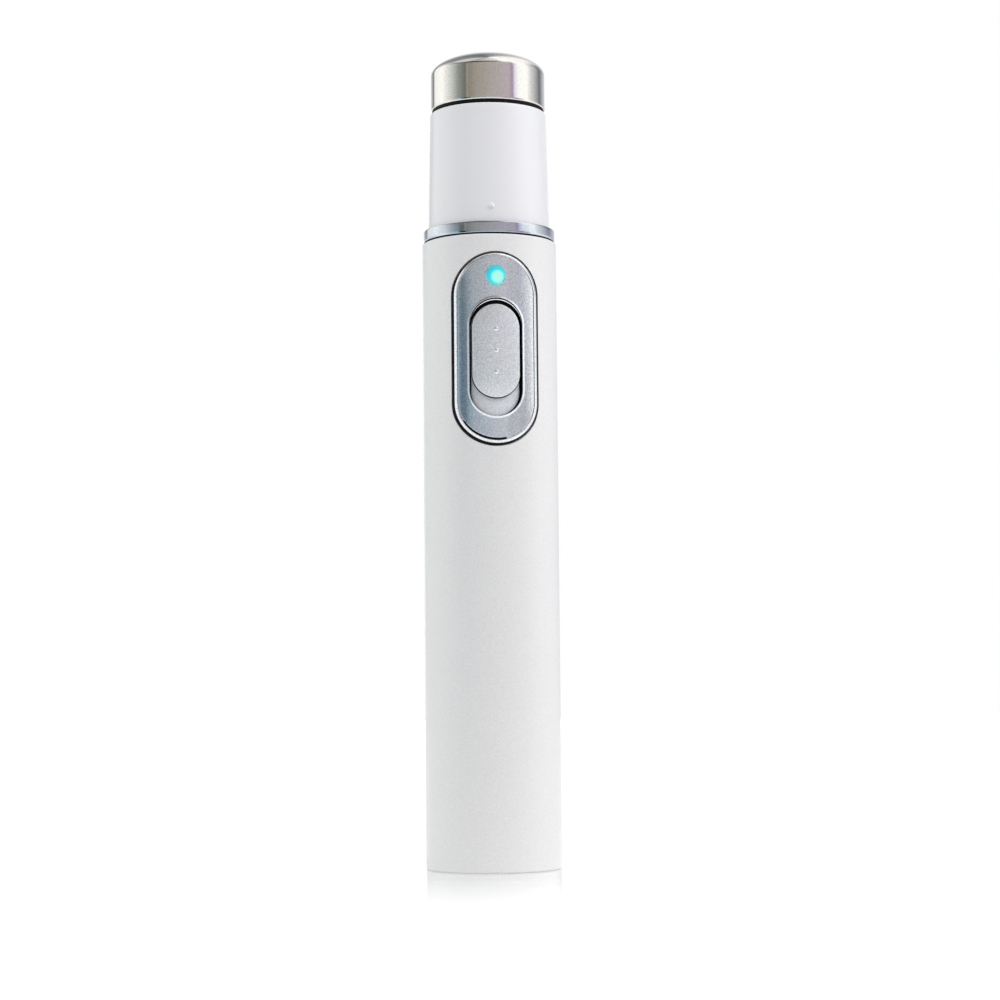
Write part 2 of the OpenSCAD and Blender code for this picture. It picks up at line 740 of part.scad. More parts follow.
// Screwed plug with a flange in the standing rim, a coin slot below and a pin for the plate
module tail_cap() {
    cup_r = plug_r - plug_wall;
    floor_t = 1.2;
    color("white") difference() {
        union() {
            rotate_extrude() polygon([
                [0, cap_recess], [cap_r - 0.2, cap_recess], [cap_r, cap_recess + 0.2],
                [cap_r, z_flange], [plug_r, z_flange], [plug_r, z_plate - 0.3],
                [plug_r - 0.3, z_plate], [cup_r, z_plate], [cup_r, z_flange + floor_t],
                [0, z_flange + floor_t]]);
            translate([0, 0, z_flange]) cylinder(r = 2.2, h = plug_h);
            translate([0, 0, z_flange]) cylinder(r = cap_pin_r, h = plug_h + plate_t + 0.6);
        }
        translate([0, 0, cap_recess - eps]) linear_extrude(1)
            square([2 * cap_r - 5, coin_w], center = true);
    }
}

barrel();
collar_ring();
head_neck();
head_seal();
treatment_head();
head_window();
light_cup();
head_carrier();
led_board();
treatment_leds();
switch_bezel();
slide_button();
indicator_lens();
indicator_led();
inner_chassis();
circuit_board();
board_screws();
switch_case();
switch_cover();
switch_lever();
boost_inductor();
driver_chip();
filter_capacitor();
rectifier_diode();
lead_red();
lead_black();
battery_cell();
positive_contact();
negative_strip();
contact_plate();
tail_spring();
tail_cap();
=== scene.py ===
import math

import bmesh
import bpy
from mathutils import Matrix, Vector


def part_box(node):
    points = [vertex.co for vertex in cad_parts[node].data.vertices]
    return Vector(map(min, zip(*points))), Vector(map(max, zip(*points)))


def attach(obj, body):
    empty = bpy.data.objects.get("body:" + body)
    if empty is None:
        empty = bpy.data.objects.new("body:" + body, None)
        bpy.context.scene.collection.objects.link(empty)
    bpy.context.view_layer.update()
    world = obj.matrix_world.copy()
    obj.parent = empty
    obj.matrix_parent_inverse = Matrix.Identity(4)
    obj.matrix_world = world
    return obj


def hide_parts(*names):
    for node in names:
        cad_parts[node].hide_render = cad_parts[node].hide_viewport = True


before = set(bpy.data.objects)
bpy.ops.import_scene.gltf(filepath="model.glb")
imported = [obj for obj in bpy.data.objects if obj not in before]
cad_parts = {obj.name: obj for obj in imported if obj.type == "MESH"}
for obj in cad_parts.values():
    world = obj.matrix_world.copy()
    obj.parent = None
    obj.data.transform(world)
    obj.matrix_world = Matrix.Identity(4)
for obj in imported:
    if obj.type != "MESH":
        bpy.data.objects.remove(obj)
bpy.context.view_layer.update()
mm = 0.001


def nodeBox(node):
    low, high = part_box(node)
    return low / mm, high / mm


# Colours and nodes

def linear(hexColour):
    srgb = [int(hexColour[i:i + 2], 16) / 255 for i in (0, 2, 4)]
    return [c / 12.92 if c <= 0.04045 else ((c + 0.055) / 1.055) ** 2.4 for c in srgb] + [1.0]


def setInputs(tree, node, inputs):
    # an input takes a value, or a link from another node's output
    for key, value in inputs.items():
        if isinstance(value, bpy.types.NodeSocket):
            tree.links.new(value, node.inputs[key])
        else:
            node.inputs[key].default_value = value


def addNode(tree, kind, inputs=None, **settings):
    node = tree.nodes.new("ShaderNode" + kind)
    for name, value in settings.items():
        setattr(node, name, value)
    setInputs(tree, node, inputs or {})
    return node


def mathNode(tree, operation, *values):
    return addNode(tree, "Math", dict(enumerate(values)), operation=operation).outputs[0]


def vectorNode(tree, operation, *values):
    node = addNode(tree, "VectorMath", dict(enumerate(values)), operation=operation)
    return node.outputs["Value" if operation == "LENGTH" else "Vector"]


def within(tree, value, low, high):
    # 1 between two limits and 0 beyond them
    above = mathNode(tree, "GREATER_THAN", value, low)
    return mathNode(tree, "MULTIPLY", above, mathNode(tree, "LESS_THAN", value, high))


def spread(tree, source, low, high, start=0.0, end=1.0, way="LINEAR"):
    # a source that goes from start to end is laid out from low to high
    node = addNode(tree, "MapRange", {
        "Value": source, "From Min": start, "From Max": end, "To Min": low, "To Max": high},
        interpolation_type=way)
    return node.outputs["Result"]


def blend(tree, share, first, second, way="MIX"):
    # two colours, each written in hex or taken from another node
    first, second = [linear(c) if isinstance(c, str) else c for c in (first, second)]
    node = addNode(tree, "Mix", {0: share, 6: first, 7: second}, data_type="RGBA", blend_type=way)
    return node.outputs[2]


def colourRamp(tree, share, stops):
    node = addNode(tree, "ValToRGB", {"Fac": share})
    ramp = node.color_ramp
    ramp.elements[0].color = linear(stops[0][1])
    ramp.elements[1].color = linear(stops[-1][1])
    for place, colour in stops[1:-1]:
        ramp.elements.new(place).color = linear(colour)
    return node.outputs["Color"]


def noise(tree, coords, size, detail=2.0, roughness=0.5):
    # size is the pattern's scale in millimetres
    node = addNode(tree, "TexNoise", {
        "Vector": coords, "Scale": 1 / (size * mm), "Detail": detail, "Roughness": roughness})
    return node.outputs["Fac"]


def emboss(tree, shader, height, strength, depth):
    bump = addNode(tree, "Bump", {"Height": height, "Strength": strength, "Distance": depth * mm})
    setInputs(tree, shader, {"Normal": bump.outputs["Normal"]})


def newMaterial(name, colour, metallic, roughness):
    material = bpy.data.materials.new(name)
    material.use_nodes = True
    tree = material.node_tree
    tree.nodes.clear()
    coords = addNode(tree, "TexCoord").outputs["Object"]
    shader = addNode(tree, "BsdfPrincipled", {
        "Base Color": linear(colour), "Metallic": metallic, "Roughness": roughness})
    addNode(tree, "OutputMaterial", {"Surface": shader.outputs["BSDF"]})
    return material, tree, shader, coords


# Lacquered ABS with pearl flakes: a soft white with a clear gloss over fine bright and dim specks
def pearlLacquer():
    material, tree, shader, coords = newMaterial("pearlLacquer", "EDEEEF", 0.0, 0.34)
    # real flakes are 0.03 mm; at 0.22 mm they just show as the fine speckle of the photographed barrel
    flakes = noise(tree, coords, 0.22, 1.0)
    clouds = noise(tree, coords, 9)
    fleck = blend(tree, flakes, "E1E0E1", "F8F8F6")
    setInputs(tree, shader, {
        "Base Color": blend(tree, spread(tree, clouds, 0.0, 0.12), fleck, "D9DADC"),
        "Roughness": spread(tree, flakes, 0.26, 0.44), "IOR": 1.5,
        "Coat Weight": 0.35, "Coat Roughness": 0.16})
    emboss(tree, shader, flakes, 0.12, 0.02)
    return material


# Injection-moulded gloss ABS: smooth, with the faint waviness of a moulded wall
def glossAbs():
    material, tree, shader, coords = newMaterial("glossAbs", "EFEFF1", 0.0, 0.2)
    dust = noise(tree, coords, 0.3)
    setInputs(tree, shader, {"Roughness": spread(tree, dust, 0.17, 0.25), "IOR": 1.53})
    emboss(tree, shader, noise(tree, coords, 2.5, 1.0), 0.15, 0.02)
    return material


# Metal worked round the pen's axis: fine lines run round it, and tiny pits speckle the mirror a little
def turnedMetal(name, colour, shade, roughness, line, depth):
    material, tree, shader, coords = newMaterial(name, colour, 1.0, roughness)
    pits = spread(tree, noise(tree, coords, 0.3, 2.0, 0.6), 0.0, 1.0, 0.34, 0.6)
    smears = noise(tree, coords, 4)
    setInputs(tree, shader, {
        "Base Color": blend(tree, pits, shade, colour),
        "Roughness": spread(tree, smears, roughness * 0.75, roughness * 1.35)})
    stretched = addNode(tree, "Mapping", {"Vector": coords, "Scale": (0.05, 0.05, 1.0)}).outputs["Vector"]
    emboss(tree, shader, noise(tree, stretched, line, 3.0), depth, 0.01)
    return material


# Satin-plated or bead-blasted metal: an even grain of a chosen size, brighter and dimmer by turns
def grainedMetal(name, colour, shade, roughness, size, depth, metallic=1.0):
    material, tree, shader, coords = newMaterial(name, colour, metallic, roughness)
    grain = noise(tree, coords, size, 2.0, 0.6)
    setInputs(tree, shader, {
        "Base Color": blend(tree, spread(tree, grain, 0.0, 1.0, 0.34, 0.66), shade, colour),
        "Roughness": spread(tree, grain, roughness * 0.8, roughness * 1.25)})
    emboss(tree, shader, grain, depth, 0.03)
    return material


# Moulded or dipped polymer: a matt to satin skin with a fine texture
def mouldedPolymer(name, colour, shade, roughness, size, depth, ior=1.5, shine=0.5):
    material, tree, shader, coords = newMaterial(name, colour, 0.0, roughness)
    skin = noise(tree, coords, size, 3.0)
    setInputs(tree, shader, {
        "Base Color": blend(tree, skin, shade, colour), "IOR": ior, "Specular IOR Level": shine,
        "Roughness": spread(tree, skin, roughness * 0.85, roughness * 1.15)})
    emboss(tree, shader, skin, depth, 0.04)
    return material


# Solder mask over copper: an even green gloss, a shade lighter where the tracks run under it
def solderMask():
    material, tree, shader, coords = newMaterial("greenSolderMask", "1E6B3A", 0.0, 0.28)
    # tracks 0.25 mm wide, with cells of 2.4 mm between them
    cells = addNode(tree, "TexVoronoi", {"Vector": coords, "Scale": 1 / (2.4 * mm)},
                    feature="DISTANCE_TO_EDGE")
    track = spread(tree, cells.outputs["Distance"], 1.0, 0.0, 0.045, 0.06)
    setInputs(tree, shader, {
        "Base Color": blend(tree, track, "14552B", "2C8A4C"), "Roughness": spread(tree, track, 0.32, 0.24)})
    emboss(tree, shader, track, 0.4, 0.03)
    return material


# Cast or moulded clear polycarbonate: a clean window with a hint of blue in its thickness
def clearPolycarbonate():
    material, tree, shader, coords = newMaterial("clearPolycarbonate", "EAF2FA", 0.0, 0.03)
    haze = noise(tree, coords, 3, 3.0)
    setInputs(tree, shader, {
        "Roughness": spread(tree, haze, 0.02, 0.07), "Transmission Weight": 1.0, "IOR": 1.585})
    emboss(tree, shader, haze, 0.05, 0.02)
    return material


# Silicone lens over a lit blue chip: a deep blue glow, mottled by a fine haze
def litBlueSilicone():
    material, tree, shader, coords = newMaterial("litBlueSilicone", "2B3BD8", 0.0, 0.18)
    haze = noise(tree, coords, 0.6)
    setInputs(tree, shader, {
        "Emission Color": blend(tree, haze, "2438E8", "5C74FF"), "Emission Strength": 1.0, "IOR": 1.41})
    return material


# Shrink-wrapped steel cell: a glossy film between bare plated ends, told apart by height
def wrappedCell(bottom, top):
    material, tree, shader, coords = newMaterial("wrappedCell", "8A6A2E", 0.0, 0.25)
    height = addNode(tree, "SeparateXYZ", {"Vector": coords}).outputs["Z"]
    film = within(tree, height, bottom * mm, top * mm)
    wear = noise(tree, coords, 1.5, 3.0)
    bare = blend(tree, wear, "B9B5AC", "D2CFC8")
    wrap = blend(tree, wear, "7F6028", "957434")
    setInputs(tree, shader, {
        "Base Color": blend(tree, film, bare, wrap), "Metallic": spread(tree, film, 1.0, 0.0),
        "Roughness": spread(tree, wear, 0.2, 0.34)})
    return material


# Epoxy package with tinned legs: beyond its half width the surface is bare solder-plated metal
def leggedPackage(halfWidth, centre=0.0):
    material, tree, shader, coords = newMaterial("leggedPackage", "1B1B1D", 0.0, 0.5)
    across = addNode(tree, "SeparateXYZ", {"Vector": coords}).outputs["X"]
    away = mathNode(tree, "ABSOLUTE", mathNode(tree, "SUBTRACT", across, centre * mm))
    leg = mathNode(tree, "GREATER_THAN", away, halfWidth * mm)
    grit = noise(tree, coords, 0.12)
    body = blend(tree, grit, "141415", "252527")
    setInputs(tree, shader, {
        "Base Color": blend(tree, leg, body, "C6C8C9"), "Metallic": leg,
        "Roughness": spread(tree, leg, 0.52, 0.3)})
    emboss(tree, shader, grit, 0.2, 0.02)
    return material


# Diffusing acrylic with an LED behind it: a bright core that falls off to a deeper cyan rim
def litLens(centre, radius):
    material, tree, shader, coords = newMaterial("litLens", "0A3A40", 0.0, 0.12)
    offset = vectorNode(tree, "SUBTRACT", coords, centre)
    reach = vectorNode(tree, "LENGTH", vectorNode(tree, "MULTIPLY", offset, (1.0, 0.0, 1.0)))
    glow = colourRamp(tree, spread(tree, reach, 0.0, 1.0, 0.0, radius), [
        (0, "B6F2DC"), (0.38, "A9F4E4"), (0.56, "90F0E8"), (0.72, "34D8DA"), (1, "30C2DA")])
    setInputs(tree, shader, {"Emission Color": glow, "Emission Strength": 1.0, "IOR": 1.49})
    return material


# Making pieces: shapes are drawn in millimetres, and a finished mesh is in metres

crispAngle = 30  # degrees: the pieces that are cut stay crisp at edges sharper than this


def toMesh(name, bm):
    bmesh.ops.scale(bm, vec=(mm, mm, mm), verts=bm.verts)
    mesh = bpy.data.meshes.new(name)
    bm.to_mesh(mesh)
    bm.free()
    return mesh


def addObject(name, data):
    made = bpy.data.objects.new(name, data)
    bpy.context.scene.collection.objects.link(made)
    return made


def makePiece(name, bm, material, body, slotName, *nodes, sharpAngle=40, others=()):
    for face in bm.faces:
        face.smooth = True
    mesh = toMesh(name, bm)
    mesh.set_sharp_from_angle(angle=math.radians(sharpAngle))
    for finish in (material, *others):
        mesh.materials.append(finish)
    piece = addObject(name, mesh)
    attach(piece, body)
    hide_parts(*nodes)
    return piece


def cutAway(piece, bm):
    # takes the shape in bm out of a finished piece
    cutter = addObject("cutter", toMesh("cutter", bm))
    cut = piece.modifiers.new("cut", "BOOLEAN")
    cut.object = cutter
    cut.solver = "EXACT"
    bpy.context.view_layer.update()
    shown = piece.evaluated_get(bpy.context.evaluated_depsgraph_get())
    made = bpy.data.meshes.new_from_object(shown)
    piece.modifiers.clear()
    piece.data = made
    made.name = piece.name
    made.set_sharp_from_angle(angle=math.radians(crispAngle))
    bpy.data.objects.remove(cutter)


def edgesOf(verts):
    return list({e for v in verts for e in v.link_edges})


def roundEdges(bm, edges, radius, steps):
    bmesh.ops.bevel(bm, geom=edges, offset=radius, affect="EDGES", segments=steps, profile=0.5, material=-1)


def paint(verts, finish):
    for face in {f for v in verts for f in v.link_faces}:
        face.material_index = finish


def paintWhere(bm, chosen):
    # the second finish goes where the radius and the height are chosen
    for face in bm.faces:
        centre = face.calc_center_median()
        if chosen(math.hypot(centre.x, centre.y), centre.z):
            face.material_index = 1


def settle(bm, verts, stretch, place):
    bmesh.ops.scale(bm, vec=stretch, verts=verts)
    bmesh.ops.translate(bm, verts=verts, vec=place)
    return verts


def addBlock(bm, size, place):
    return settle(bm, bmesh.ops.create_cube(bm, size=1)["verts"], size, place)


def addBall(bm, steps, radius, stretch, place, finish=0):
    ball = bmesh.ops.create_uvsphere(bm, u_segments=steps[0], v_segments=steps[1], radius=radius)["verts"]
    paint(ball, finish)
    return settle(bm, ball, stretch, place)


def rotate(bm, verts, degrees, axis):
    turn = Matrix.Rotation(math.radians(degrees), 3, axis)
    bmesh.ops.rotate(bm, verts=verts, cent=(0, 0, 0), matrix=turn)


def layDown(bm, degrees, place):
    # a spun shape's top goes to the front at 90 degrees, and to the back at -90
    rotate(bm, bm.verts, degrees, "X")
    bmesh.ops.translate(bm, verts=bm.verts, vec=place)


def turnSection(corners, rounds=None, steps=256, longest=0.5):
    # a closed section of (radius, height) corners, with some corners rounded, spun about the axis
    bm = bmesh.new()
    verts = [bm.verts.new((r, 0, z)) for r, z in corners]
    bm.faces.new(verts)
    for index, radius in (rounds or {}).items():
        bmesh.ops.bevel(bm, geom=[verts[index]], offset=radius, affect="VERTICES", segments=6,
                        profile=0.5, material=-1)
    bmesh.ops.delete(bm, geom=bm.faces[:], context="FACES_ONLY")
    onAxis = [e for e in bm.edges if all(abs(v.co.x) < 1e-6 for v in e.verts)]
    bmesh.ops.delete(bm, geom=onAxis, context="EDGES")
    for edge in bm.edges[:]:
        cuts = int(edge.calc_length() / longest)
        if cuts:
            bmesh.ops.subdivide_edges(bm, edges=[edge], cuts=cuts)
    bmesh.ops.spin(bm, geom=bm.verts[:] + bm.edges[:], cent=(0, 0, 0), axis=(0, 0, 1), dvec=(0, 0, 0),
                   angle=math.tau, steps=steps, use_merge=True)
    bmesh.ops.remove_doubles(bm, verts=bm.verts, dist=1e-4)
    bmesh.ops.recalc_face_normals(bm, faces=bm.faces)
    return bm


def ellipse(a, b, baseZ, r1, r2, steps):
    # points of a quarter ellipse, from radius r1 to radius r2
    t1, t2 = math.acos(min(1, r1 / a)), math.acos(min(1, r2 / a))
    turns = [t1 + (t2 - t1) * i / steps for i in range(steps + 1)]
    return [(a * math.cos(t), baseZ + b * math.sin(t)) for t in turns]


def between(a, b, count):
    return [tuple(p + (q - p) * i / (count + 1) for p, q in zip(a, b)) for i in range(1, count + 1)]


def loftStadiums(outlines, rounds, finishes, fill=False):
    # stadium outlines (width, length, height, side shift, radius) on the barrel's cylinder, joined in turn
    endSteps = 40
    hair = 1e-3  # tells the second end's first point from the first end's last
    bm = bmesh.new()
    turn = bm.verts.layers.float.new("turn")
    loop = bmesh.ops.create_circle(bm, segments=2 * (endSteps + 1), radius=1)["verts"]
    for i, vert in enumerate(loop):
        end, step = divmod(i, endSteps + 1)
        vert[turn] = math.pi * (end + step / endSteps) + (hair if end and not step else 0)
    edges = bm.edges[:]
    loops = []
    for index, (width, length, height, side, radius) in enumerate(outlines):
        if index:
            made = bmesh.ops.extrude_edge_only(bm, edges=edges)["geom"]
            loop = [g for g in made if isinstance(g, bmesh.types.BMVert)]
            fresh = set(loop)
            edges = [g for g in made if isinstance(g, bmesh.types.BMEdge) and set(g.verts) <= fresh]
            for edge in edges:
                edge.link_faces[0].material_index = finishes.get(index, 0)
        for vert in loop:
            x = side + width / 2 * math.cos(vert[turn])
            lift = (length - width) / 2 * (1 if vert[turn] < math.pi + hair / 2 else -1)
            z = height + lift + width / 2 * math.sin(vert[turn])
            vert.co = (x, -math.sqrt(radius ** 2 - x ** 2), z)
        loops.append(edges)
    if fill:
        bmesh.ops.edgeloop_fill(bm, edges=loops[-1])
        bmesh.ops.edgeloop_fill(bm, edges=loops[0])
    else:
        bmesh.ops.bridge_loops(bm, edges=loops[0] + loops[-1])
    for index, radius in rounds.items():
        roundEdges(bm, [e for e in loops[index] if e.is_valid], radius, 5)
    bmesh.ops.recalc_face_normals(bm, faces=bm.faces)
    return bm


def sweepWire(bm, path, radius, finish=0):
    # a round wire along a path of points, capped at both ends
    points = [Vector(p) for p in path]
    ways = [(b - a).normalized() for a, b in zip(points, points[1:])]
    ways = [ways[0]] + [(a + b).normalized() for a, b in zip(ways, ways[1:])] + [ways[-1]]
    ring = bmesh.ops.create_circle(bm, cap_ends=True, segments=20, radius=radius)["verts"]
    made = set(ring)
    heading = Vector((0, 0, 1))
    place = Vector((0, 0, 0))
    for point, way in zip(points, ways):
        if point is not points[0]:
            cap = next(f for f in ring[0].link_faces if set(f.verts) == set(ring))
            grown = bmesh.ops.extrude_face_region(bm, geom=[cap])["geom"]
            if point is not points[1]:
                bmesh.ops.delete(bm, geom=[cap], context="FACES_ONLY")
            ring = [g for g in grown if isinstance(g, bmesh.types.BMVert)]
            made.update(ring)
        bmesh.ops.rotate(bm, verts=ring, cent=place, matrix=heading.rotation_difference(way).to_matrix())
        bmesh.ops.translate(bm, verts=ring, vec=point - place)
        heading, place = way, point
    paint(made, finish)


# Camera: the photograph's, found from the pen's edges and its known length

view = {
    "distance": 399.46,  # mm from the pen's axis
    "height": 30.73,  # mm above the table
    "azimuth": -5.3,  # degrees to the left of the switch
    "pitch": 4.25,
    "roll": -0.485,
    "lens": 87.15,
    "sensor": 36,
    "shiftX": 0.0088,
}


def makeCamera():
    data = bpy.data.cameras.new("camera")
    data.sensor_width = view["sensor"]
    data.lens = view["lens"]
    data.shift_x = view["shiftX"]
    camera = addObject("camera", data)
    turn = math.radians(view["azimuth"])
    place = Vector((math.sin(turn), -math.cos(turn), 0)) * view["distance"]
    place.z = view["height"]
    camera.matrix_world = (
        Matrix.Translation(place * mm) @ Matrix.Rotation(turn, 4, "Z")
        @ Matrix.Rotation(math.radians(90 + view["pitch"]), 4, "X")
        @ Matrix.Rotation(math.radians(view["roll"]), 4, "Z"))
    bpy.context.scene.camera = camera
    print("camera placed")


# Studio: a ring of soft cards round the pen, by degrees from the switch's front (right is positive)

studio = {
    # near the horizon
    "screens": [
        (-180, "FFFFFF"), (-168, "FFFFFF"), (-160, "B4B8BC"), (-92, "F4F6F6"),
        # a slate blue screen at the left, soft at its front edge
        (-78, "C4CCD2"), (-61, "94B0BE"), (-57.5, "225E74"), (-54.5, "00364C"), (-48, "00364C"),
        (-44, "457284"), (-36, "84919D"), (0, "A4A9B2"), (22, "ADAFB5"), (30, "989BA1"),
        (41, "A4A6AB"), (54, "8C8D92"), (67, "BEBFC1"), (75, "FFFFFF"), (115, "E2E2E3"),
        (145, "B4B7BC"), (160, "B4B7BC"), (168, "FFFFFF"), (180, "FFFFFF")],
    "screensTo": 0.165,  # sine of the elevation where the cards take over
    "cardsFrom": 0.19,
    # seen a little higher
    "cards": [
        (-180, "CDD0D3"), (-158, "9CA0A4"), (-148, "6E7377"), (-141, "E9ECEA"), (-112, "FAFCFC"),
        (-86, "C6CACA"), (-68, "8A9092"), (-51, "686A61"),
        # a warm grey card in front, with a violet edge at its right
        (-48, "96938A"), (-44, "86827A"), (-28, "97938C"), (18, "AAA5A8"), (38, "B2A7B0"),
        (46, "9A8AAC"), (51, "D9D7E4"), (59, "F6F8FC"), (80, "FFFFFF"), (93, "CDCFD3"),
        (124, "666972"), (140, "A8ABB2"), (165, "CDD0D3"), (180, "CDD0D3")],
    # seen higher up
    "ceiling": [
        (-180, "6A6E72"), (-125, "8A8E90"), (-95, "CCCECE"), (-60, "C4C5C3"), (-40, "A0A19E"),
        (0, "CCCCCA"), (22, "D6D6D5"), (34, "FFFFFF"), (140, "F2F2F2"), (165, "9A9EA2"),
        (180, "6A6E72")],
    "ceilingFrom": 0.44,  # sine of the elevation where the ceiling begins
    "ceilingFull": 0.8,
    # a dark bar below the ceiling, which draws the thin dark lines along the metal's upper edges
    "bar": [
        (-180, "FFFFFF"), (-110, "FFFFFF"), (-95, "C4C4C4"), (-58, "9A9A9C"), (-46, "4C4C4E"),
        (-18, "4C4C4E"), (12, "868688"), (26, "FFFFFF"), (180, "FFFFFF")],
    "barFrom": 0.53,  # sines of the elevation
    "barTo": 0.72,
    "strength": 1.4,
    # soft lamps: degrees from the switch's front, degrees up, metres away, metres wide, watts
    "lamps": {
        "rightLamp": (44, 40, 0.4, 0.3, 0.45),
        "leftLamp": (-85, 25, 0.6, 0.45, 0.62),
        "backLamp": (172, 32, 0.6, 0.45, 0.44),
    },
    "lampsAim": 60,  # mm above the table
}


def seenRays(tree, path):
    # the camera's own rays, also those that went through glass
    return mathNode(tree, "MAXIMUM", path["Is Camera Ray"], path["Is Transmission Ray"])


def mixShaders(tree, share, first, second):
    return addNode(tree, "MixShader", {0: share, 1: first, 2: second}).outputs["Shader"]


def makeStudio():
    bpy.context.scene.view_settings.view_transform = "Standard"
    world = bpy.data.worlds.new("studio")
    bpy.context.scene.world = world
    world.use_nodes = True
    tree = world.node_tree
    tree.nodes.clear()
    path = addNode(tree, "LightPath").outputs
    ray = addNode(tree, "TexCoord").outputs["Generated"]
    across, back, up = addNode(tree, "SeparateXYZ", {"Vector": ray}).outputs
    angle = mathNode(tree, "ARCTAN2", across, mathNode(tree, "MULTIPLY", back, -1.0))
    share = spread(tree, angle, 0.0, 1.0, -math.pi, math.pi)

    def cardRing(name):
        return colourRamp(tree, share, [((degrees + 180) / 360, hue) for degrees, hue in studio[name]])

    def above(start, end):
        return spread(tree, up, 0.0, 1.0, studio[start], studio[end], "SMOOTHSTEP")

    walls = blend(tree, above("screensTo", "cardsFrom"), cardRing("screens"), cardRing("cards"))
    hall = blend(tree, above("ceilingFrom", "ceilingFull"), walls, cardRing("ceiling"))
    inBar = within(tree, up, studio["barFrom"], studio["barTo"])
    mirrored = mathNode(tree, "MULTIPLY", inBar, path["Is Glossy Ray"])
    room = blend(tree, mirrored, hall, cardRing("bar"), "MULTIPLY")
    light = addNode(tree, "Background", {"Color": room, "Strength": studio["strength"]})
    # the plain white backdrop is what the camera sees, also through glass
    backdrop = addNode(tree, "Background", {"Color": linear("FFFFFF"), "Strength": 1.0})
    both = mixShaders(tree, seenRays(tree, path), light.outputs[0], backdrop.outputs[0])
    addNode(tree, "OutputWorld", {"Surface": both})


# Lamps that light the lacquer and stay out of the metal's reflections
def makeLamps():
    for name, (turn, up, away, wide, watts) in studio["lamps"].items():
        data = bpy.data.lights.new(name, "AREA")
        data.shape = "DISK"
        data.size = wide
        data.energy = watts
        lamp = addObject(name, data)
        lamp.matrix_world = (
            Matrix.Rotation(math.radians(turn), 4, "Z") @ Matrix.Rotation(math.radians(90 - up), 4, "X")
            @ Matrix.Translation((0, 0, away)))
        lamp.location.z += studio["lampsAim"] * mm
        lamp.visible_glossy = False
        lamp.visible_camera = False


# White table with a polished top: it keeps the pen's soft shadow and a faint image of its foot

tableTop = {
    "reach": 1500,  # half its width
    "under": 0.02,  # this far below the pen's foot
    "plain": 0.42,  # its own white round the pen
    "plainTo": 200,
    "whiteFrom": 500,  # pure white from here to the horizon
    "foot": 12,  # from the pen's axis to just outside its foot
    "polish": 0.04,  # roughness of the polished top
    "gleam": 1.3,  # share of the polish's own reflection that is left at the pen's foot
    "gleamTo": 95,
    "bounce": 0.14,  # light that the table in front of the pen throws up at its foot
    "bounceFront": -0.85,  # all of it where the way from the pen has this Y
    "bounceSide": 0.1,  # and none from this one on
    "rimBounce": 0.2,  # most of all at its rim
    "rimTo": 15,
}


def makeTable():
    bm = bmesh.new()
    bmesh.ops.create_grid(bm, x_segments=1, y_segments=1, size=tableTop["reach"])
    bmesh.ops.translate(bm, verts=bm.verts, vec=(0, 0, -tableTop["under"]))
    table = addObject("table", toMesh("table", bm))
    material, tree, shader, coords = newMaterial("whiteTable", "D9D9D9", 0.0, 0.6)
    path = addNode(tree, "LightPath").outputs
    reach = vectorNode(tree, "LENGTH", coords)

    def outwards(low, high, start, end):
        return spread(tree, reach, low, high, tableTop[start] * mm, tableTop[end] * mm)

    fade = outwards(tableTop["gleam"], 0.0, "foot", "gleamTo")
    way = addNode(tree, "SeparateXYZ", {"Vector": vectorNode(tree, "NORMALIZE", coords)}).outputs["Y"]
    front = spread(tree, way, tableTop["bounce"], 0.0, tableTop["bounceFront"], tableTop["bounceSide"])
    rim = outwards(tableTop["rimBounce"], 0.0, "foot", "rimTo")
    bounce = mathNode(tree, "MAXIMUM", mathNode(tree, "MULTIPLY", fade, front), rim)
    white = outwards(tableTop["plain"], 1.0, "plainTo", "whiteFrom")
    plain = mathNode(tree, "MULTIPLY", seenRays(tree, path), white)
    mirrored = spread(tree, path["Is Glossy Ray"], 0.0, tableTop["plain"])
    glow = mathNode(tree, "MAXIMUM", mathNode(tree, "MAXIMUM", plain, mirrored), bounce)
    lift = addNode(tree, "Emission", {"Color": linear("FFFFFF"), "Strength": glow})
    lit = addNode(tree, "AddShader", {0: shader.outputs["BSDF"], 1: lift.outputs["Emission"]})
    polish = mathNode(tree, "MULTIPLY", addNode(tree, "Fresnel", {"IOR": 1.5}).outputs["Fac"], fade)
    onlySeen = mathNode(tree, "MULTIPLY", polish, path["Is Camera Ray"])
    gleam = addNode(tree, "BsdfGlossy", {"Color": linear("FFFFFF"), "Roughness": tableTop["polish"]})
    both = mixShaders(tree, onlySeen, lit.outputs["Shader"], gleam.outputs["BSDF"])
    # clear from below, so that the pen's underside can be looked at
    below = addNode(tree, "NewGeometry").outputs["Backfacing"]
    top = mixShaders(tree, below, both, addNode(tree, "BsdfTransparent").outputs["BSDF"])
    output = next(n for n in tree.nodes if n.type == "OUTPUT_MATERIAL")
    setInputs(tree, output, {"Surface": top})
    table.data.materials.append(material)
    print("studio built")


# Head: a drawn and polished steel cup over a black seal

head = {
    "steel": 0.6,
    "foot": 0.18,  # rounding at the cup's foot
    "mouth": 0.12,  # rounding at the window's edge
    "inside": 0.08,  # rounding of the two inner edges
    "wall": 5.9,
    "dome": 3.5,
    "window": 9.3,
    "windowGap": 0.05,
    "sealBore": 8.5,
    "sealWaist": 0.25,  # how far the seal stands back
}


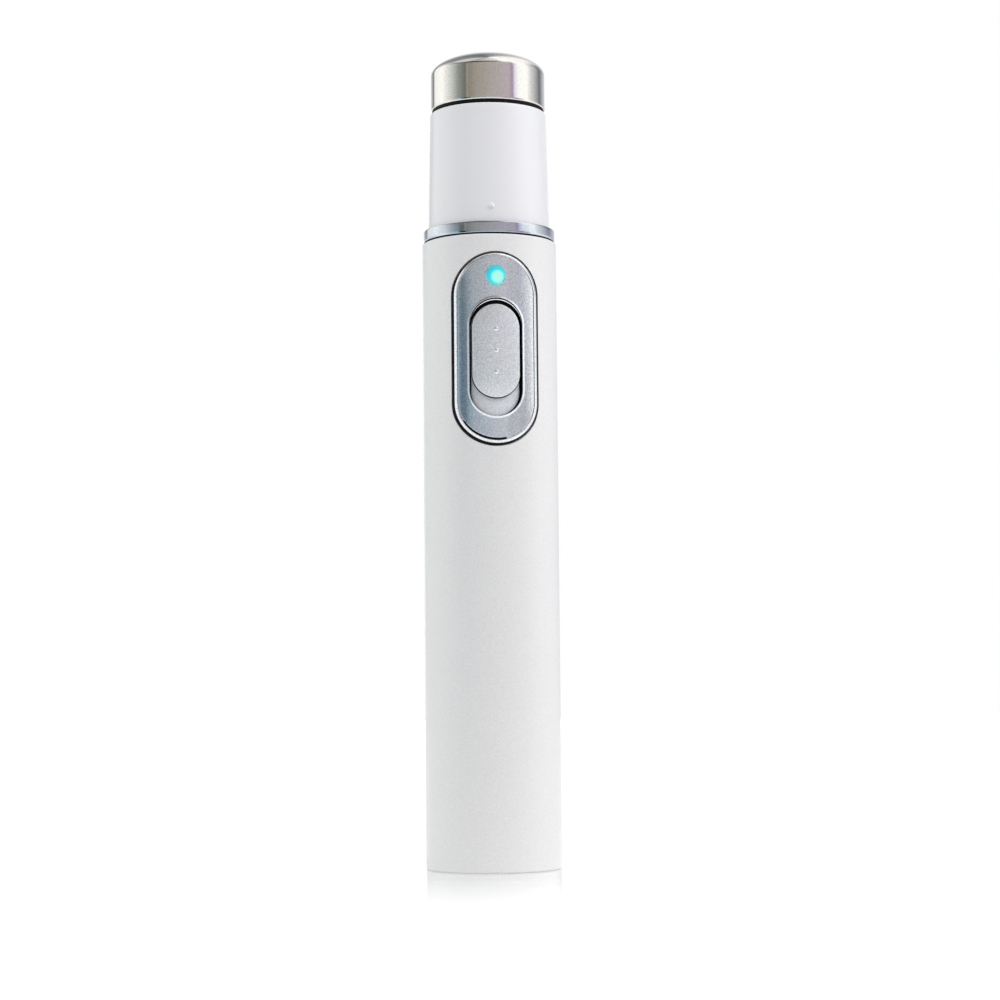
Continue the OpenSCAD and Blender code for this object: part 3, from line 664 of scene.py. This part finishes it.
def makeHead(steel, rubber):
    low, high = nodeBox("treatment_head")
    r, base = high.x, low.z
    inner = r - head["steel"]
    domeZ = base + head["wall"]
    mouth = head["window"] / 2 + head["windowGap"]
    outside = ellipse(r, head["dome"], domeZ, r, mouth, 40)
    inside = ellipse(inner, head["dome"] - head["steel"], domeZ, inner, mouth, 24)[::-1]
    last = len(outside) + 1
    rounds = {0: head["inside"], 1: head["foot"], last: head["mouth"], last + 1: head["inside"]}
    bm = turnSection([(inner, base), (r, base)] + outside + inside, rounds, longest=0.4)
    makePiece("steelHead", bm, steel, "housing", "polished_steel", "treatment_head")

    low, high = nodeBox("head_seal")
    bore, waist = head["sealBore"], high.x - head["sealWaist"]
    bm = turnSection([(bore, low.z), (waist, low.z), (waist, high.z), (bore, high.z)])
    makePiece("headSeal", bm, rubber, "housing", "black_rubber", "head_seal")
    print("head made")


# Neck: a slim cone with softened ends, a small pip in front and its spigot inside the barrel

neck = {
    "rounds": {1: 0.3, 3: 0.25, 4: 0.35, 5: 0.15},  # by corner: the spigot's end, the cone's foot and top
    "topDiameter": 19.3,
    "spigotRadius": 9.3,
    "spigotWall": 0.8,
    "pipWide": 1.0,
    "pipUp": 2.65,
    "pipIn": 0.12,  # from the neck's skin in to the pip's middle
    "pipAngle": -2.6,
}


def makeNeck(plastic):
    low, high = nodeBox("head_neck")
    ringTop = nodeBox("collar_ring")[1].z
    spigotR = neck["spigotRadius"]
    bore = spigotR - neck["spigotWall"]
    r = high.x
    corners = [(bore, low.z), (spigotR, low.z), (spigotR, ringTop), (r, ringTop),
               (neck["topDiameter"] / 2, high.z), (bore, high.z)]
    bm = turnSection(corners, neck["rounds"])
    place = (0, neck["pipIn"] - r, ringTop + neck["pipUp"])
    pip = addBall(bm, (32, 16), neck["pipWide"] / 2, (1, 1, 1), place)
    rotate(bm, pip, neck["pipAngle"], "Z")
    makePiece("neckShell", bm, plastic, "housing", "white_gloss", "head_neck")
    print("neck made")


# Ring: chrome band with a slight slope at its top, standing on a thin foot inside the barrel's edge,
# painted black as the shadow gap below the band

ring = {
    "bore": 9.35,
    "slopeIn": 0.05,
    "slopeHigh": 0.19,
    "footUp": 0.28,
    "footIn": 0.32,
    "rounds": {3: 0.08, 4: 0.02, 5: 0.05},  # by corner, from the chrome's lower edge up
}


def makeRing(chrome, bare):
    low, high = nodeBox("collar_ring")
    r, z1, z2 = high.x, low.z, high.z
    bore = ring["bore"]
    footZ = z1 + ring["footUp"]
    footR = r - ring["footIn"]
    corners = [(bore, z1), (footR, z1), (footR, footZ), (r, footZ), (r, z2 - ring["slopeHigh"]),
               (r - ring["slopeIn"], z2), (bore, z2)]
    bm = turnSection(corners, ring["rounds"], longest=0.3)
    # the foot and the chrome's underside are painted black, as the shadow gap below the band
    near = 0.02
    paintWhere(bm, lambda reach, z: z < footZ - near or (z < footZ + near and reach < r - 0.1))
    makePiece("collarRing", bm, chrome, "housing", "chrome_trim", "collar_ring", others=(bare,))
    print("ring made")


# Switch: a stadium plate that follows the barrel, its sunk track, and the button that slides in it

switch = {
    "border": (0.25, 0.1, 0.3, 0.15),  # a recessed strip painted black as the shadow gap round the plated lip, at the left, right, foot and top
    "borderDown": 0.16,
    "lipWide": 0.46,
    "lipSlope": 0.32,  # the lip's outer part falls away and catches the side lights
    "lipFall": 0.15,
    "lipRound": 0.08,
    "lipCrest": 0.12,
    "faceDrop": 0.12,
    "faceRound": 0.06,
    "faceBand": 0.3,  # an even band along the face's edge
    # the face lies in the lip with a fine gap that opens at its foot, its walls painted black as the gap's
    # shade
    "seamWide": 0.05,
    "seamShift": 0.02,  # to the right, so that the gap is almost all at the left
    "seamFoot": 0.4,
    "seamDeep": 0.36,
    "seamRight": 0.4,  # where the gap begins to close, to the right of the middle
    "seamRightFade": 1.5,
    "seamUp": 3.4,  # and above the plate's lower end
    "seamUpFade": 1.0,
    "trackWide": 8.6,
    "trackLong": 19.2,
    "trackFoot": 4.7,  # from the plate's lower end to the track
    "trackDeep": 0.9,
    "trackBand": 0.84,  # this and the next three are added to the track's width and length
    "rimFoot": 0.7,
    "rimTop": 0.2,
    "rimIn": 0.04,
    "rimHigh": 0.1,
    "rimDeep": 0.3,
    "rimRound": 0.03,
    "hood": 0.36,  # lit edge above the button, behind a fine groove painted black as its shade
    "hoodBack": (-0.04, -0.18, -0.1, 0.03),  # wider, longer, up and to the side
    "hoodTop": 0.1,  # below the rim's top, as are the rim's own depth and the hood's drop
    "hoodRound": 0.04,
    "hoodDrop": 0.22,
    "wellIn": 0.1,
    "wellShift": 0.02,
    "wellRound": 0.05,
    "groove": 0.34,  # channel round the track's floor, painted black as its shade, closed at its foot
    "grooveDown": 0.6,
    "grooveShift": 0.3,
    "floorShift": -0.12,
    "openingWide": 4.6,
    "openingLong": 7.8,
    "plateInset": 1.5,
    "plateThick": 1.9,
    "ledge": 10.3,  # radius of the ledge in the barrel
}


def makeBezel(metal, bare, pale):
    low, high = nodeBox("switch_bezel")
    lipR = -low.y
    borderR = nodeBox("barrel")[1].x - switch["borderDown"]
    faceR = lipR - switch["faceDrop"]
    seamR = faceR - switch["seamDeep"]
    rimR = faceR + switch["rimHigh"]
    trackR = lipR - switch["trackDeep"]
    grooveR = trackR - switch["grooveDown"]
    backR = lipR - switch["plateThick"]
    trackZ = low.z + switch["trackFoot"] + switch["trackLong"] / 2
    left, right, foot, top = switch["border"]
    outlines, finishes, rounds = [], {}, {}

    def add(size, radius, finish=0, rounding=0):
        # a size is (width, length, height, side shift)
        finishes[len(outlines)] = finish
        if rounding:
            rounds[len(outlines)] = rounding
        outlines.append((*size, radius))

    def grow(size, wider, longer=None, up=0, side=0):
        added = (wider, wider if longer is None else longer, up, side)
        return tuple(old + more for old, more in zip(size, added))

    def addBetween(size, radius, count, finish=0):
        for *step, stepR in between(outlines[-1], (*size, radius), count):
            add(step, stepR, finish)
        add(size, radius, finish)

    plate = (high.x - low.x, high.z - low.z, (low.z + high.z) / 2, 0)
    lip = grow(plate, -left - right, -foot - top, (foot - top) / 2, (left - right) / 2)
    lipIn = grow(lip, -2 * switch["lipWide"])
    seam = switch["seamFoot"]
    face = grow(lipIn, -switch["seamWide"], -seam, seam / 2, switch["seamShift"])
    track = (switch["trackWide"], switch["trackLong"], trackZ, 0)
    hood = grow(track, *switch["hoodBack"])
    well = grow(track, -switch["wellIn"], -switch["hood"], -switch["hood"] / 2, switch["wellShift"])
    floor = grow(well, -2 * switch["groove"], up=-switch["grooveShift"], side=switch["floorShift"])
    opening = (switch["openingWide"], switch["openingLong"], trackZ, 0)
    back = grow(plate, -2 * switch["plateInset"])

    # from the ledge over the border and the lip to the seam
    add(plate, switch["ledge"])
    # the border's strip is painted black, as the shadow gap round the plate
    add(plate, borderR, 1)
    add(lip, borderR, 1)
    add(lip, lipR - switch["lipFall"], 0, switch["lipRound"])
    add(grow(lip, -2 * switch["lipSlope"]), lipR, 0, switch["lipCrest"])
    add(lipIn, lipR, 0, switch["faceRound"])
    add(lipIn, seamR)
    # finish 1 paints the seam's floor and the face's edge above it black, as the seam's shade
    add(face, seamR, 1)
    # the face
    add(face, faceR, 1, switch["faceRound"])
    add(grow(face, -switch["faceBand"]), faceR)
    addBetween(grow(track, switch["trackBand"]), faceR, 3)
    # the track's rim, the hood behind it and the well
    add(grow(track, switch["rimFoot"]), faceR)
    add(grow(track, switch["rimTop"]), rimR, 0, switch["rimRound"])
    add(grow(track, switch["rimIn"]), rimR, 0, switch["rimRound"])
    add(grow(track, switch["rimIn"]), rimR - switch["rimDeep"])
    # finish 1 paints the fine groove behind the rim and the well's wall black, as their shade
    add(hood, rimR - switch["rimDeep"], 1)
    add(hood, rimR - switch["hoodTop"], 1, switch["hoodRound"])
    add(well, rimR - switch["hoodDrop"], 0, switch["wellRound"])
    add(well, trackR, 1)
    # the groove, the track's floor and its opening, and the plate's back
    # finish 1 paints the groove round the floor black as its shade, and the opening's wall and the plate's
    # back black too
    add(well, grooveR, 1)
    add(floor, grooveR, 1)
    add(floor, trackR, 1, switch["wellRound"])
    addBetween(opening, trackR, 2, 2)
    add(opening, backR, 1)
    addBetween(back, backR, 2, 1)
    add(back, switch["ledge"], 1)
    bm = loftStadiums(outlines, rounds, finishes)

    # the seam is open at the lower left and closes to the right and up the side, where its walls lose the
    # painted black shade
    seamFloor = [v for v in bm.verts if abs(math.hypot(v.co.x, v.co.y) - seamR) < 0.01]
    for vert in seamFloor:
        shut = max((vert.co.x - switch["seamRight"]) / switch["seamRightFade"],
                   (vert.co.z - low.z - switch["seamUp"]) / switch["seamUpFade"], 0)
        reach = seamR + (faceR - seamR) * min(shut, 1)
        vert.co.x, vert.co.y = vert.co.x * reach / seamR, vert.co.y * reach / seamR
    for closed in {f for v in seamFloor for f in v.link_faces}:
        if math.hypot(*closed.calc_center_median().xy) > faceR - switch["faceRound"]:
            closed.material_index = 0
    return makePiece("bezelPlate", bm, metal, "housing", "satin_silver", "switch_bezel",
                     sharpAngle=crispAngle, others=(bare, pale))


button = {
    "smaller": 0.06,  # than the plain solid
    "top": 11.6,  # radii about the pen's axis
    "under": 10.6,
    "crown": 0.28,
    "rim": 0.15,  # rounding of the pad's edge
    "rimHigh": 0.14,  # an even band below it
    "crownSteps": 10,
    "baseWider": 0.12,  # the base, painted black as the shadow gap round the pad, stands a little wider than the pad
    "baseHigh": 0.45,
    "baseRound": 0.1,
    "baseIn": 2.0,  # the flat middle of its underside is this much narrower than the pad
    "dotWide": 0.84,
    "dotRise": 0.3,
    "dotPitch": 3.5,
    "stem": (4.2, 5.4),  # wide and long
    "foot": (6.6, 2.4),
    "footFrom": -9.2,  # along Y
    "footTo": -8.4,
    "stemRound": 0.15,
}


def makeButton(metal, bare, smooth):
    low, high = nodeBox("slide_button")
    wide, long = high.x - low.x - button["smaller"], high.z - low.z - button["smaller"]
    middle = (low.z + high.z) / 2
    edgeR = button["top"] - button["crown"]
    underR = button["under"]
    baseTop = underR + button["baseHigh"]
    wider = button["baseWider"]
    base = (wide + wider, long + wider, middle - wider / 2, 0)
    edge = (wide, long, middle, 0)

    def pad(inset):
        # the pad rises from its edge to its middle
        radius = button["top"] - button["crown"] * (1 - 2 * inset / wide) ** 2
        return (wide - 2 * inset, long - 2 * inset, middle, 0, radius)

    outlines = [(wide - button["baseIn"], long - button["baseIn"], middle, 0, underR), (*base, underR),
                (*base, baseTop), (*edge, baseTop + button["baseRound"]),
                (*edge, edgeR - button["rimHigh"]), (*edge, edgeR), pad(0.2), pad(0.28)]
    outlines += [pad(wide / 2 * i / button["crownSteps"]) for i in range(1, button["crownSteps"])]
    outlines.append(pad(wide / 2 - 0.2))
    # the base and the pad's sides below its rim are painted black, as the shadow gap round the button
    black = dict.fromkeys(range(1, 5), 1)
    bm = loftStadiums(outlines, {1: button["baseRound"], 5: button["rim"], 6: 0.05}, black, fill=True)
    dotR = -low.y - button["dotRise"]
    flat = (1, 2 * button["dotRise"] / button["dotWide"], 1)
    for i in (-1, 0, 1):
        addBall(bm, (28, 14), button["dotWide"] / 2, flat, (0, -dotR, middle + i * button["dotPitch"]), 2)
    for (sizeX, sizeZ), y1, y2 in ((button["stem"], -underR - 0.1, high.y),
                                   (button["foot"], button["footFrom"], button["footTo"])):
        block = addBlock(bm, (sizeX, y2 - y1, sizeZ), (0, (y1 + y2) / 2, middle))
        roundEdges(bm, edgesOf(block), button["stemRound"], 2)
    makePiece("slideButton", bm, metal, "slider", "satin_silver", "slide_button",
              sharpAngle=50, others=(bare, smooth))


# Indicator: a short light pipe with a domed tip and a flange, lit from behind

pipe = {
    "radius": 1.5,
    "dome": 0.35,
    "footRound": 0.1,
    "flangeFrom": 8.1,  # from the pen's axis
    "flangeTo": 8.7,
    "glowSide": 0.28,  # the LED sits a little off the pipe's centre
    "glowDown": 0.3,
    "glowWide": 1.1,  # in pipe radii
    "hole": 1.58,
    "holeMouth": 1.7,  # the hole's fine chamfer on the plate's face
    "mouthDeep": 0.1,
    "cutFrom": 6,  # the cut runs from inside the pen to outside it
    "cutTo": 13,
}


def makeLens(pipeZ):
    low, high = nodeBox("indicator_lens")
    tip, end, r = -low.y, -high.y, pipe["radius"]
    flange = (high.x - low.x) / 2
    corners = [(0, end), (r, end), (r, pipe["flangeFrom"]), (flange, pipe["flangeFrom"]),
               (flange, pipe["flangeTo"]), (r, pipe["flangeTo"])]
    corners += ellipse(r, pipe["dome"], tip - pipe["dome"], r, 0, 12)
    bm = turnSection(corners, {1: pipe["footRound"]}, steps=96)
    layDown(bm, 90, (0, 0, pipeZ))
    core = Vector((pipe["glowSide"], 0, pipeZ - pipe["glowDown"])) * mm
    makePiece("indicatorLens", bm, litLens(core, r * mm * pipe["glowWide"]), "housing", "cyan_lens",
              "indicator_lens")


def makeSwitch(satin, grained, bare, pale):
    bezel = makeBezel(satin, bare, pale)
    low, high = nodeBox("indicator_lens")
    pipeZ = (low.z + high.z) / 2
    faceR = -nodeBox("switch_bezel")[0].y - switch["faceDrop"]
    hole, mouth, start, end = pipe["hole"], pipe["holeMouth"], pipe["cutFrom"], pipe["cutTo"]
    # 98 steps leave no corner of the hole on the plate's middle line
    bm = turnSection([(0, start), (hole, start), (hole, faceR - pipe["mouthDeep"]), (mouth, faceR + 0.02),
                      (mouth, end), (0, end)], steps=98, longest=5)
    layDown(bm, 90, (0, 0, pipeZ))
    cutAway(bezel, bm)
    makeButton(grained, bare, satin)
    makeLens(pipeZ)
    print("switch made")


# Light under the window: three moulded packages, each with a lit lens

leds = {
    "count": 3,
    "circle": 5.4,
    "body": (2.8, 3.5, 1.5),
    "bodyRound": 0.08,
    "notch": 0.5,  # the corner that marks the cathode
    "lens": 1.2,
    "lensHigh": 0.5,
    "lensSunk": 0.1,
}


def makeLeds(white, lit):
    foot = nodeBox("treatment_leds")[0].z
    high = leds["body"][2]
    bm = bmesh.new()
    for i in range(leds["count"]):
        before = set(bm.verts)
        body = addBlock(bm, leds["body"], (0, 0, high / 2))
        corner = [e for e in edgesOf(body) if all(v.co.x > 0 and v.co.y > 0 for v in e.verts)]
        roundEdges(bm, corner, leds["notch"], 1)
        roundEdges(bm, edgesOf([v for v in bm.verts if v not in before]), leds["bodyRound"], 2)
        addBall(bm, (40, 20), leds["lens"], (1, 1, leds["lensHigh"] / leds["lens"]),
                (0, 0, high - leds["lensSunk"]), 1)
        fresh = [v for v in bm.verts if v not in before]
        bmesh.ops.translate(bm, verts=fresh, vec=(leds["circle"] / 2, 0, foot))
        rotate(bm, fresh, 90 + 360 * i / leds["count"], "Z")
    makePiece("ledPackages", bm, white, "housing", "blue_leds", "treatment_leds", others=(lit,))
    print("LEDs made")


# Tail: a moulded cap with a coin slot and a screw thread, and the spring that stands on its plate

tail = {
    "flange": 1.2, "plug": 5.7,  # heights
    "root": 8.1, "crest": 8.5,  # radii of the thread
    "cup": 7.0, "cupFloor": 1.2,
    "boss": 2.2, "pin": 1.0,
    # by corner, from the flange's foot round to the pin
    "rounds": {1: 0.2, 2: 0.1, 3: 0.15, 4: 0.3, 5: 0.15, 6: 0.3, 7: 0.3, 8: 0.15, 10: 0.2},
    "slotWide": 1.7, "slotLong": 14.2, "slotDeep": 1.0,
    "slotCorner": 0.5, "slotFloor": 0.15,  # roundings
    "pitch": 2.0, "threadFrom": 2.5, "threadTurns": 1.75,
    "threadSunk": 0.2,  # into the plug
    "threadFoot": 0.62, "threadTop": 0.2,  # half widths of the thread
    "threadSteps": 160,
    "wire": 0.6, "wireSlack": 0.01,
    "coilFoot": 4.2, "coilTop": 2.2, "coilTurns": 3, "coilSteps": 40,
}


def makeTailCap(plastic):
    low, high = nodeBox("tail_cap")
    flangeR, foot, root = high.x, low.z, tail["root"]
    flangeTop = foot + tail["flange"]
    plugTop = flangeTop + tail["plug"]
    cupFloor = flangeTop + tail["cupFloor"]
    corners = [(0, foot), (flangeR, foot), (flangeR, flangeTop), (root, flangeTop), (root, plugTop),
               (tail["cup"], plugTop), (tail["cup"], cupFloor), (tail["boss"], cupFloor),
               (tail["boss"], plugTop), (tail["pin"], plugTop), (tail["pin"], high.z), (0, high.z)]
    bm = turnSection(corners, tail["rounds"], steps=128)
    cap = makePiece("tailCap", bm, plastic, "cap", "pearl_plastic", "tail_cap", sharpAngle=crispAngle)

    bm = bmesh.new()
    deep = tail["slotDeep"]
    slot = addBlock(bm, (tail["slotLong"], tail["slotWide"], 2 * deep), (0, 0, foot))
    upright = [e for e in edgesOf(slot) if abs(e.verts[0].co.z - e.verts[1].co.z) > deep]
    roundEdges(bm, upright, tail["slotCorner"], 6)
    floorEdges = [e for e in bm.edges if all(v.co.z > foot + 0.9 * deep for v in e.verts)]
    roundEdges(bm, floorEdges, tail["slotFloor"], 3)
    cutAway(cap, bm)

    # the thread's section, spun up the plug
    steps = tail["threadSteps"]
    inner, crest = root - tail["threadSunk"], tail["crest"]
    half, top = tail["threadFoot"], tail["threadTop"]
    bm = bmesh.new()
    section = [bm.verts.new((r, 0, tail["threadFrom"] + z))
               for r, z in ((inner, -half), (crest, -top), (crest, top), (inner, half))]
    bmesh.ops.spin(bm, geom=[bm.faces.new(section)], cent=(0, 0, 0), axis=(0, 0, 1),
                   dvec=(0, 0, tail["pitch"] * tail["threadTurns"] / steps),
                   angle=math.tau * tail["threadTurns"], steps=steps)
    bmesh.ops.recalc_face_normals(bm, faces=bm.faces)
    bmesh.ops.scale(bm, vec=(mm, mm, mm), verts=bm.verts)
    bm.from_mesh(cap.data)
    bm.to_mesh(cap.data)
    bm.free()


def makeSpring(metal):
    low, high = nodeBox("tail_spring")
    wire = tail["wire"]
    first, last = low.z + wire / 2, high.z - wire / 2
    steps = tail["coilSteps"] * tail["coilTurns"]
    path = []
    for i in range(steps + 1):
        share = i / steps
        r = tail["coilFoot"] + (tail["coilTop"] - tail["coilFoot"]) * share
        turn = math.tau * tail["coilTurns"] * share
        path.append((r * math.cos(turn), r * math.sin(turn), first + (last - first) * share))
    bm = bmesh.new()
    sweepWire(bm, path, wire / 2 - tail["wireSlack"])
    bmesh.ops.recalc_face_normals(bm, faces=bm.faces)
    makePiece("tailSpring", bm, metal, "tail_contact", "nickel_steel", "tail_spring")
    print("tail made")


# Leads from the board's back to the LED board, stripped and soldered at the foot

leads = {
    "apart": 2.4,
    "back": -2.45,  # the wire's middle, on the board's back
    "foot": 0.05,  # above the solder's foot
    "bare": 1.6,
    "straight": (100, 104, 106.5),  # heights on the way to the bend
    "bend": 4.0,
    "bendSteps": 16,
    "inHead": (116, 121),  # heights beyond it
    "tipIn": 0.02,
    "cover": 0.98,
    "core": 0.5,
    "coreHidden": 0.3,
    "joint": 0.75,
    "jointStretch": (0.8, 0.6, 1),
    "jointBack": 0.1,
}


def makeLead(node, side, cover, tinned):
    low, high = nodeBox(node)
    x, y = side * leads["apart"], leads["back"]
    bend, steps = leads["bend"], leads["bendSteps"]
    angle = math.acos(1 + y / (2 * bend))
    bendFoot = leads["straight"][-1]
    bendTop = bendFoot + 2 * bend * math.sin(angle)
    path = [(x, y, low.z + leads["foot"]), (x, y, low.z + leads["bare"])]
    path += [(x, y, z) for z in leads["straight"]]
    for i in range(1, steps + 1):
        turn = angle * i / steps
        path.append((x, y + bend - bend * math.cos(turn), bendFoot + bend * math.sin(turn)))
    for i in range(1, steps + 1):
        turn = angle * (1 - i / steps)
        path.append((x, bend * math.cos(turn) - bend, bendTop - bend * math.sin(turn)))
    path += [(x, 0, z) for z in (*leads["inHead"], high.z - leads["tipIn"])]
    bm = bmesh.new()
    sweepWire(bm, path[1:], leads["cover"] / 2)
    sweepWire(bm, path[:2] + [(x, y, low.z + leads["bare"] + leads["coreHidden"])], leads["core"] / 2, 1)
    addBall(bm, (24, 14), leads["joint"], leads["jointStretch"],
            (x, y - leads["jointBack"], low.z + leads["joint"]), 1)
    bmesh.ops.recalc_face_normals(bm, faces=bm.faces)
    name, slotName = ("leadRed", "red_wire") if side > 0 else ("leadBlack", "black_wire")
    makePiece(name, bm, cover, "housing", slotName, node, others=(tinned,))


# Boost inductor: a ferrite drum wound with enamelled copper

inductor = {
    "high": 3.0, "flange": 2.6, "flangeThick": 0.6,
    "flangeRound": 0.15, "flangeInside": 0.08,  # roundings
    "winding": 2.2, "turns": 9,
    "bulge": 0.12,  # of each turn of the winding
}


def makeInductor(core, copper):
    low, high = nodeBox("boost_inductor")
    flange, thick, tall = inductor["flange"], inductor["flangeThick"], inductor["high"]
    outer, inner, winding = inductor["flangeRound"], inductor["flangeInside"], inductor["winding"]
    steps = 8 * inductor["turns"]
    corners = [(0, 0), (flange, 0), (flange, thick)]
    for i in range(steps + 1):
        bulge = inductor["bulge"] * abs(math.sin(math.pi * inductor["turns"] * i / steps))
        corners.append((winding - inductor["bulge"] + bulge, thick + (tall - 2 * thick) * i / steps))
    corners += [(flange, tall - thick), (flange, tall), (0, tall)]
    last = len(corners) - 1
    bm = turnSection(corners, {1: outer, 2: inner, last - 2: inner, last - 1: outer}, steps=96)
    paintWhere(bm, lambda r, z: thick + 0.01 < z < tall - thick - 0.01 and r < winding + 0.05)
    layDown(bm, -90, (0, low.y, (low.z + high.z) / 2))
    makePiece("boostInductor", bm, core, "housing", "ferrite", "boost_inductor", others=(copper,))


# Filter capacitor: a sleeved can with its bare aluminium top crimped in

capacitor = {
    "base": 1.8, "baseHigh": 0.5,
    "sleeve": 2.1, "sleeveFrom": 0.6,
    "shoulder": 0.25, "shoulderHigh": 0.2,
    "crimp": 0.18, "crimpAt": 1.3, "crimpHalf": 0.3,
    "top": 1.55, "topDown": 0.1,
    "rounds": {3: 0.1, 4: 0.15, 5: 0.15, 6: 0.15, 7: 0.15, 8: 0.1},  # by corner, up the sleeve
}


def makeCapacitor(cover, aluminium):
    low, high = nodeBox("filter_capacitor")
    tall = high.y - low.y
    base, sleeve, top = capacitor["base"], capacitor["sleeve"], capacitor["top"]
    crimpZ, half, shoulder = capacitor["crimpAt"], capacitor["crimpHalf"], capacitor["shoulderHigh"]
    topZ = tall - capacitor["topDown"]
    corners = [(0, 0), (base, 0), (base, capacitor["baseHigh"]), (sleeve, capacitor["sleeveFrom"]),
               (sleeve, crimpZ - half), (sleeve - capacitor["crimp"], crimpZ), (sleeve, crimpZ + half),
               (sleeve, tall - shoulder), (sleeve - capacitor["shoulder"], tall), (top, tall),
               (top, topZ), (0, topZ)]
    bm = turnSection(corners, capacitor["rounds"], steps=96, longest=0.4)
    paintWhere(bm, lambda r, z: r < top + 0.01 and z > tall - shoulder)
    layDown(bm, -90, ((low.x + high.x) / 2, low.y, (low.z + high.z) / 2))
    makePiece("filterCapacitor", bm, cover, "housing", "capacitor_sleeve", "filter_capacitor",
              others=(aluminium,))
    print("wiring and coil made")


# The rest: finishes for the solids that stay as they are

def finishNodes(finishes):
    for node, material in finishes.items():
        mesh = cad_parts[node].data
        for slot in range(len(mesh.materials)):
            mesh.materials[slot] = material
    print("inner parts finished")


makeCamera()
makeStudio()
makeLamps()
makeTable()

pearl = pearlLacquer()
neckPlastic = glossAbs()
# name, colour, its darker shade, roughness, size of the lines or the grain in mm, and how deep they look
steel = turnedMetal("polishedSteel", "E4E1DB", "D9D5CE", 0.07, 0.12, 0.08)
chrome = turnedMetal("chromePlate", "CED3D9", "C4CAD1", 0.06, 0.2, 0.05)
# a fourth number is how metallic the finish is, where it isn't fully so
satin = grainedMetal("satinPlate", "F2F4F6", "D2D5D9", 0.15, 0.24, 0.12, 0.85)
grained = grainedMetal("blastedPlate", "F1F3F4", "D2D6DA", 0.34, 0.26, 0.6, 0.6)
pale = grainedMetal("blastedFloor", "F4F6F8", "DDE1E6", 0.4, 0.3, 0.4, 0.4)
nickel = grainedMetal("nickelSpring", "C9C5BC", "B5B1A8", 0.25, 0.3, 0.1)
zinc = grainedMetal("zincScrew", "B9BCC0", "9FA3A8", 0.3, 0.25, 0.15)
copper = grainedMetal("enamelledCopper", "B8643A", "9E4F2B", 0.28, 0.15, 0.1)
tinned = grainedMetal("tinnedWire", "C9CBCC", "B2B5B7", 0.3, 0.2, 0.15)
aluminium = grainedMetal("crimpedAluminium", "D5D7D9", "C3C6C9", 0.35, 0.25, 0.1)
# a fourth and a fifth are the index of refraction and the shine, where they aren't the usual 1.5 and 0.5
rubber = mouldedPolymer("sealRubber", "08080A", "040405", 0.6, 0.3, 0.1, 1.4, 0.25)
greyAbs = mouldedPolymer("greyAbs", "8F9295", "85888B", 0.55, 0.4, 0.15)
# a black that paints shade: the ring's foot, the switch plate's gaps and grooves, and the button's base
paintedShadeBlack = mouldedPolymer("paintedShadeBlack", "0B0B0C", "070708", 0.6, 0.3, 0.1, 1.5, 0.25)
blackEpoxy = mouldedPolymer("blackEpoxy", "1C1C1D", "131314", 0.5, 0.15, 0.2)
whiteAbs = mouldedPolymer("whiteReflector", "F2F2F0", "EAEAE8", 0.3, 0.3, 0.05)
boardMask = solderMask()
whiteMask = mouldedPolymer("whiteSolderMask", "EFEFEC", "E4E4E1", 0.35, 1.0, 0.1)
phenolic = mouldedPolymer("phenolicBrown", "5B3A22", "4B2F1B", 0.55, 0.4, 0.2)
ferrite = mouldedPolymer("ferrite", "2B2B2E", "202023", 0.7, 0.2, 0.4)
redPvc = mouldedPolymer("redPvc", "B3161B", "9F1217", 0.4, 0.5, 0.05)
blackPvc = mouldedPolymer("blackPvc", "171719", "101012", 0.4, 0.5, 0.05)
sleeve = mouldedPolymer("blueSleeve", "24427A", "1C3768", 0.35, 0.8, 0.05)

makeHead(steel, rubber)
makeNeck(neckPlastic)
makeRing(chrome, paintedShadeBlack)
makeSwitch(satin, grained, paintedShadeBlack, pale)
makeLeds(whiteAbs, litBlueSilicone())
makeTailCap(pearl)
makeSpring(nickel)
makeLead("lead_red", 1, redPvc, tinned)
makeLead("lead_black", -1, blackPvc, tinned)
makeInductor(ferrite, copper)
makeCapacitor(sleeve, aluminium)

# half widths of the two packages, and how far the diode's middle lies to the side
chipFinish = leggedPackage(1.95)
diodeFinish = leggedPackage(0.8, 3.6)
# the film leaves 1 mm of the cell bare at its foot and 1.7 mm, with the button, at its top
cellLow, cellHigh = nodeBox("battery_cell")
cellFinish = wrappedCell(cellLow.z + 1.0, cellHigh.z - 1.7)
finishNodes({
    "barrel": pearl, "light_cup": whiteAbs, "head_carrier": greyAbs, "head_window": clearPolycarbonate(),
    "led_board": whiteMask, "inner_chassis": greyAbs, "circuit_board": boardMask, "board_screws": zinc,
    "switch_case": phenolic, "switch_cover": nickel, "switch_lever": blackEpoxy, "driver_chip": chipFinish,
    "rectifier_diode": diodeFinish, "battery_cell": cellFinish, "positive_contact": nickel,
    "negative_strip": nickel, "contact_plate": nickel, "indicator_led": whiteAbs})
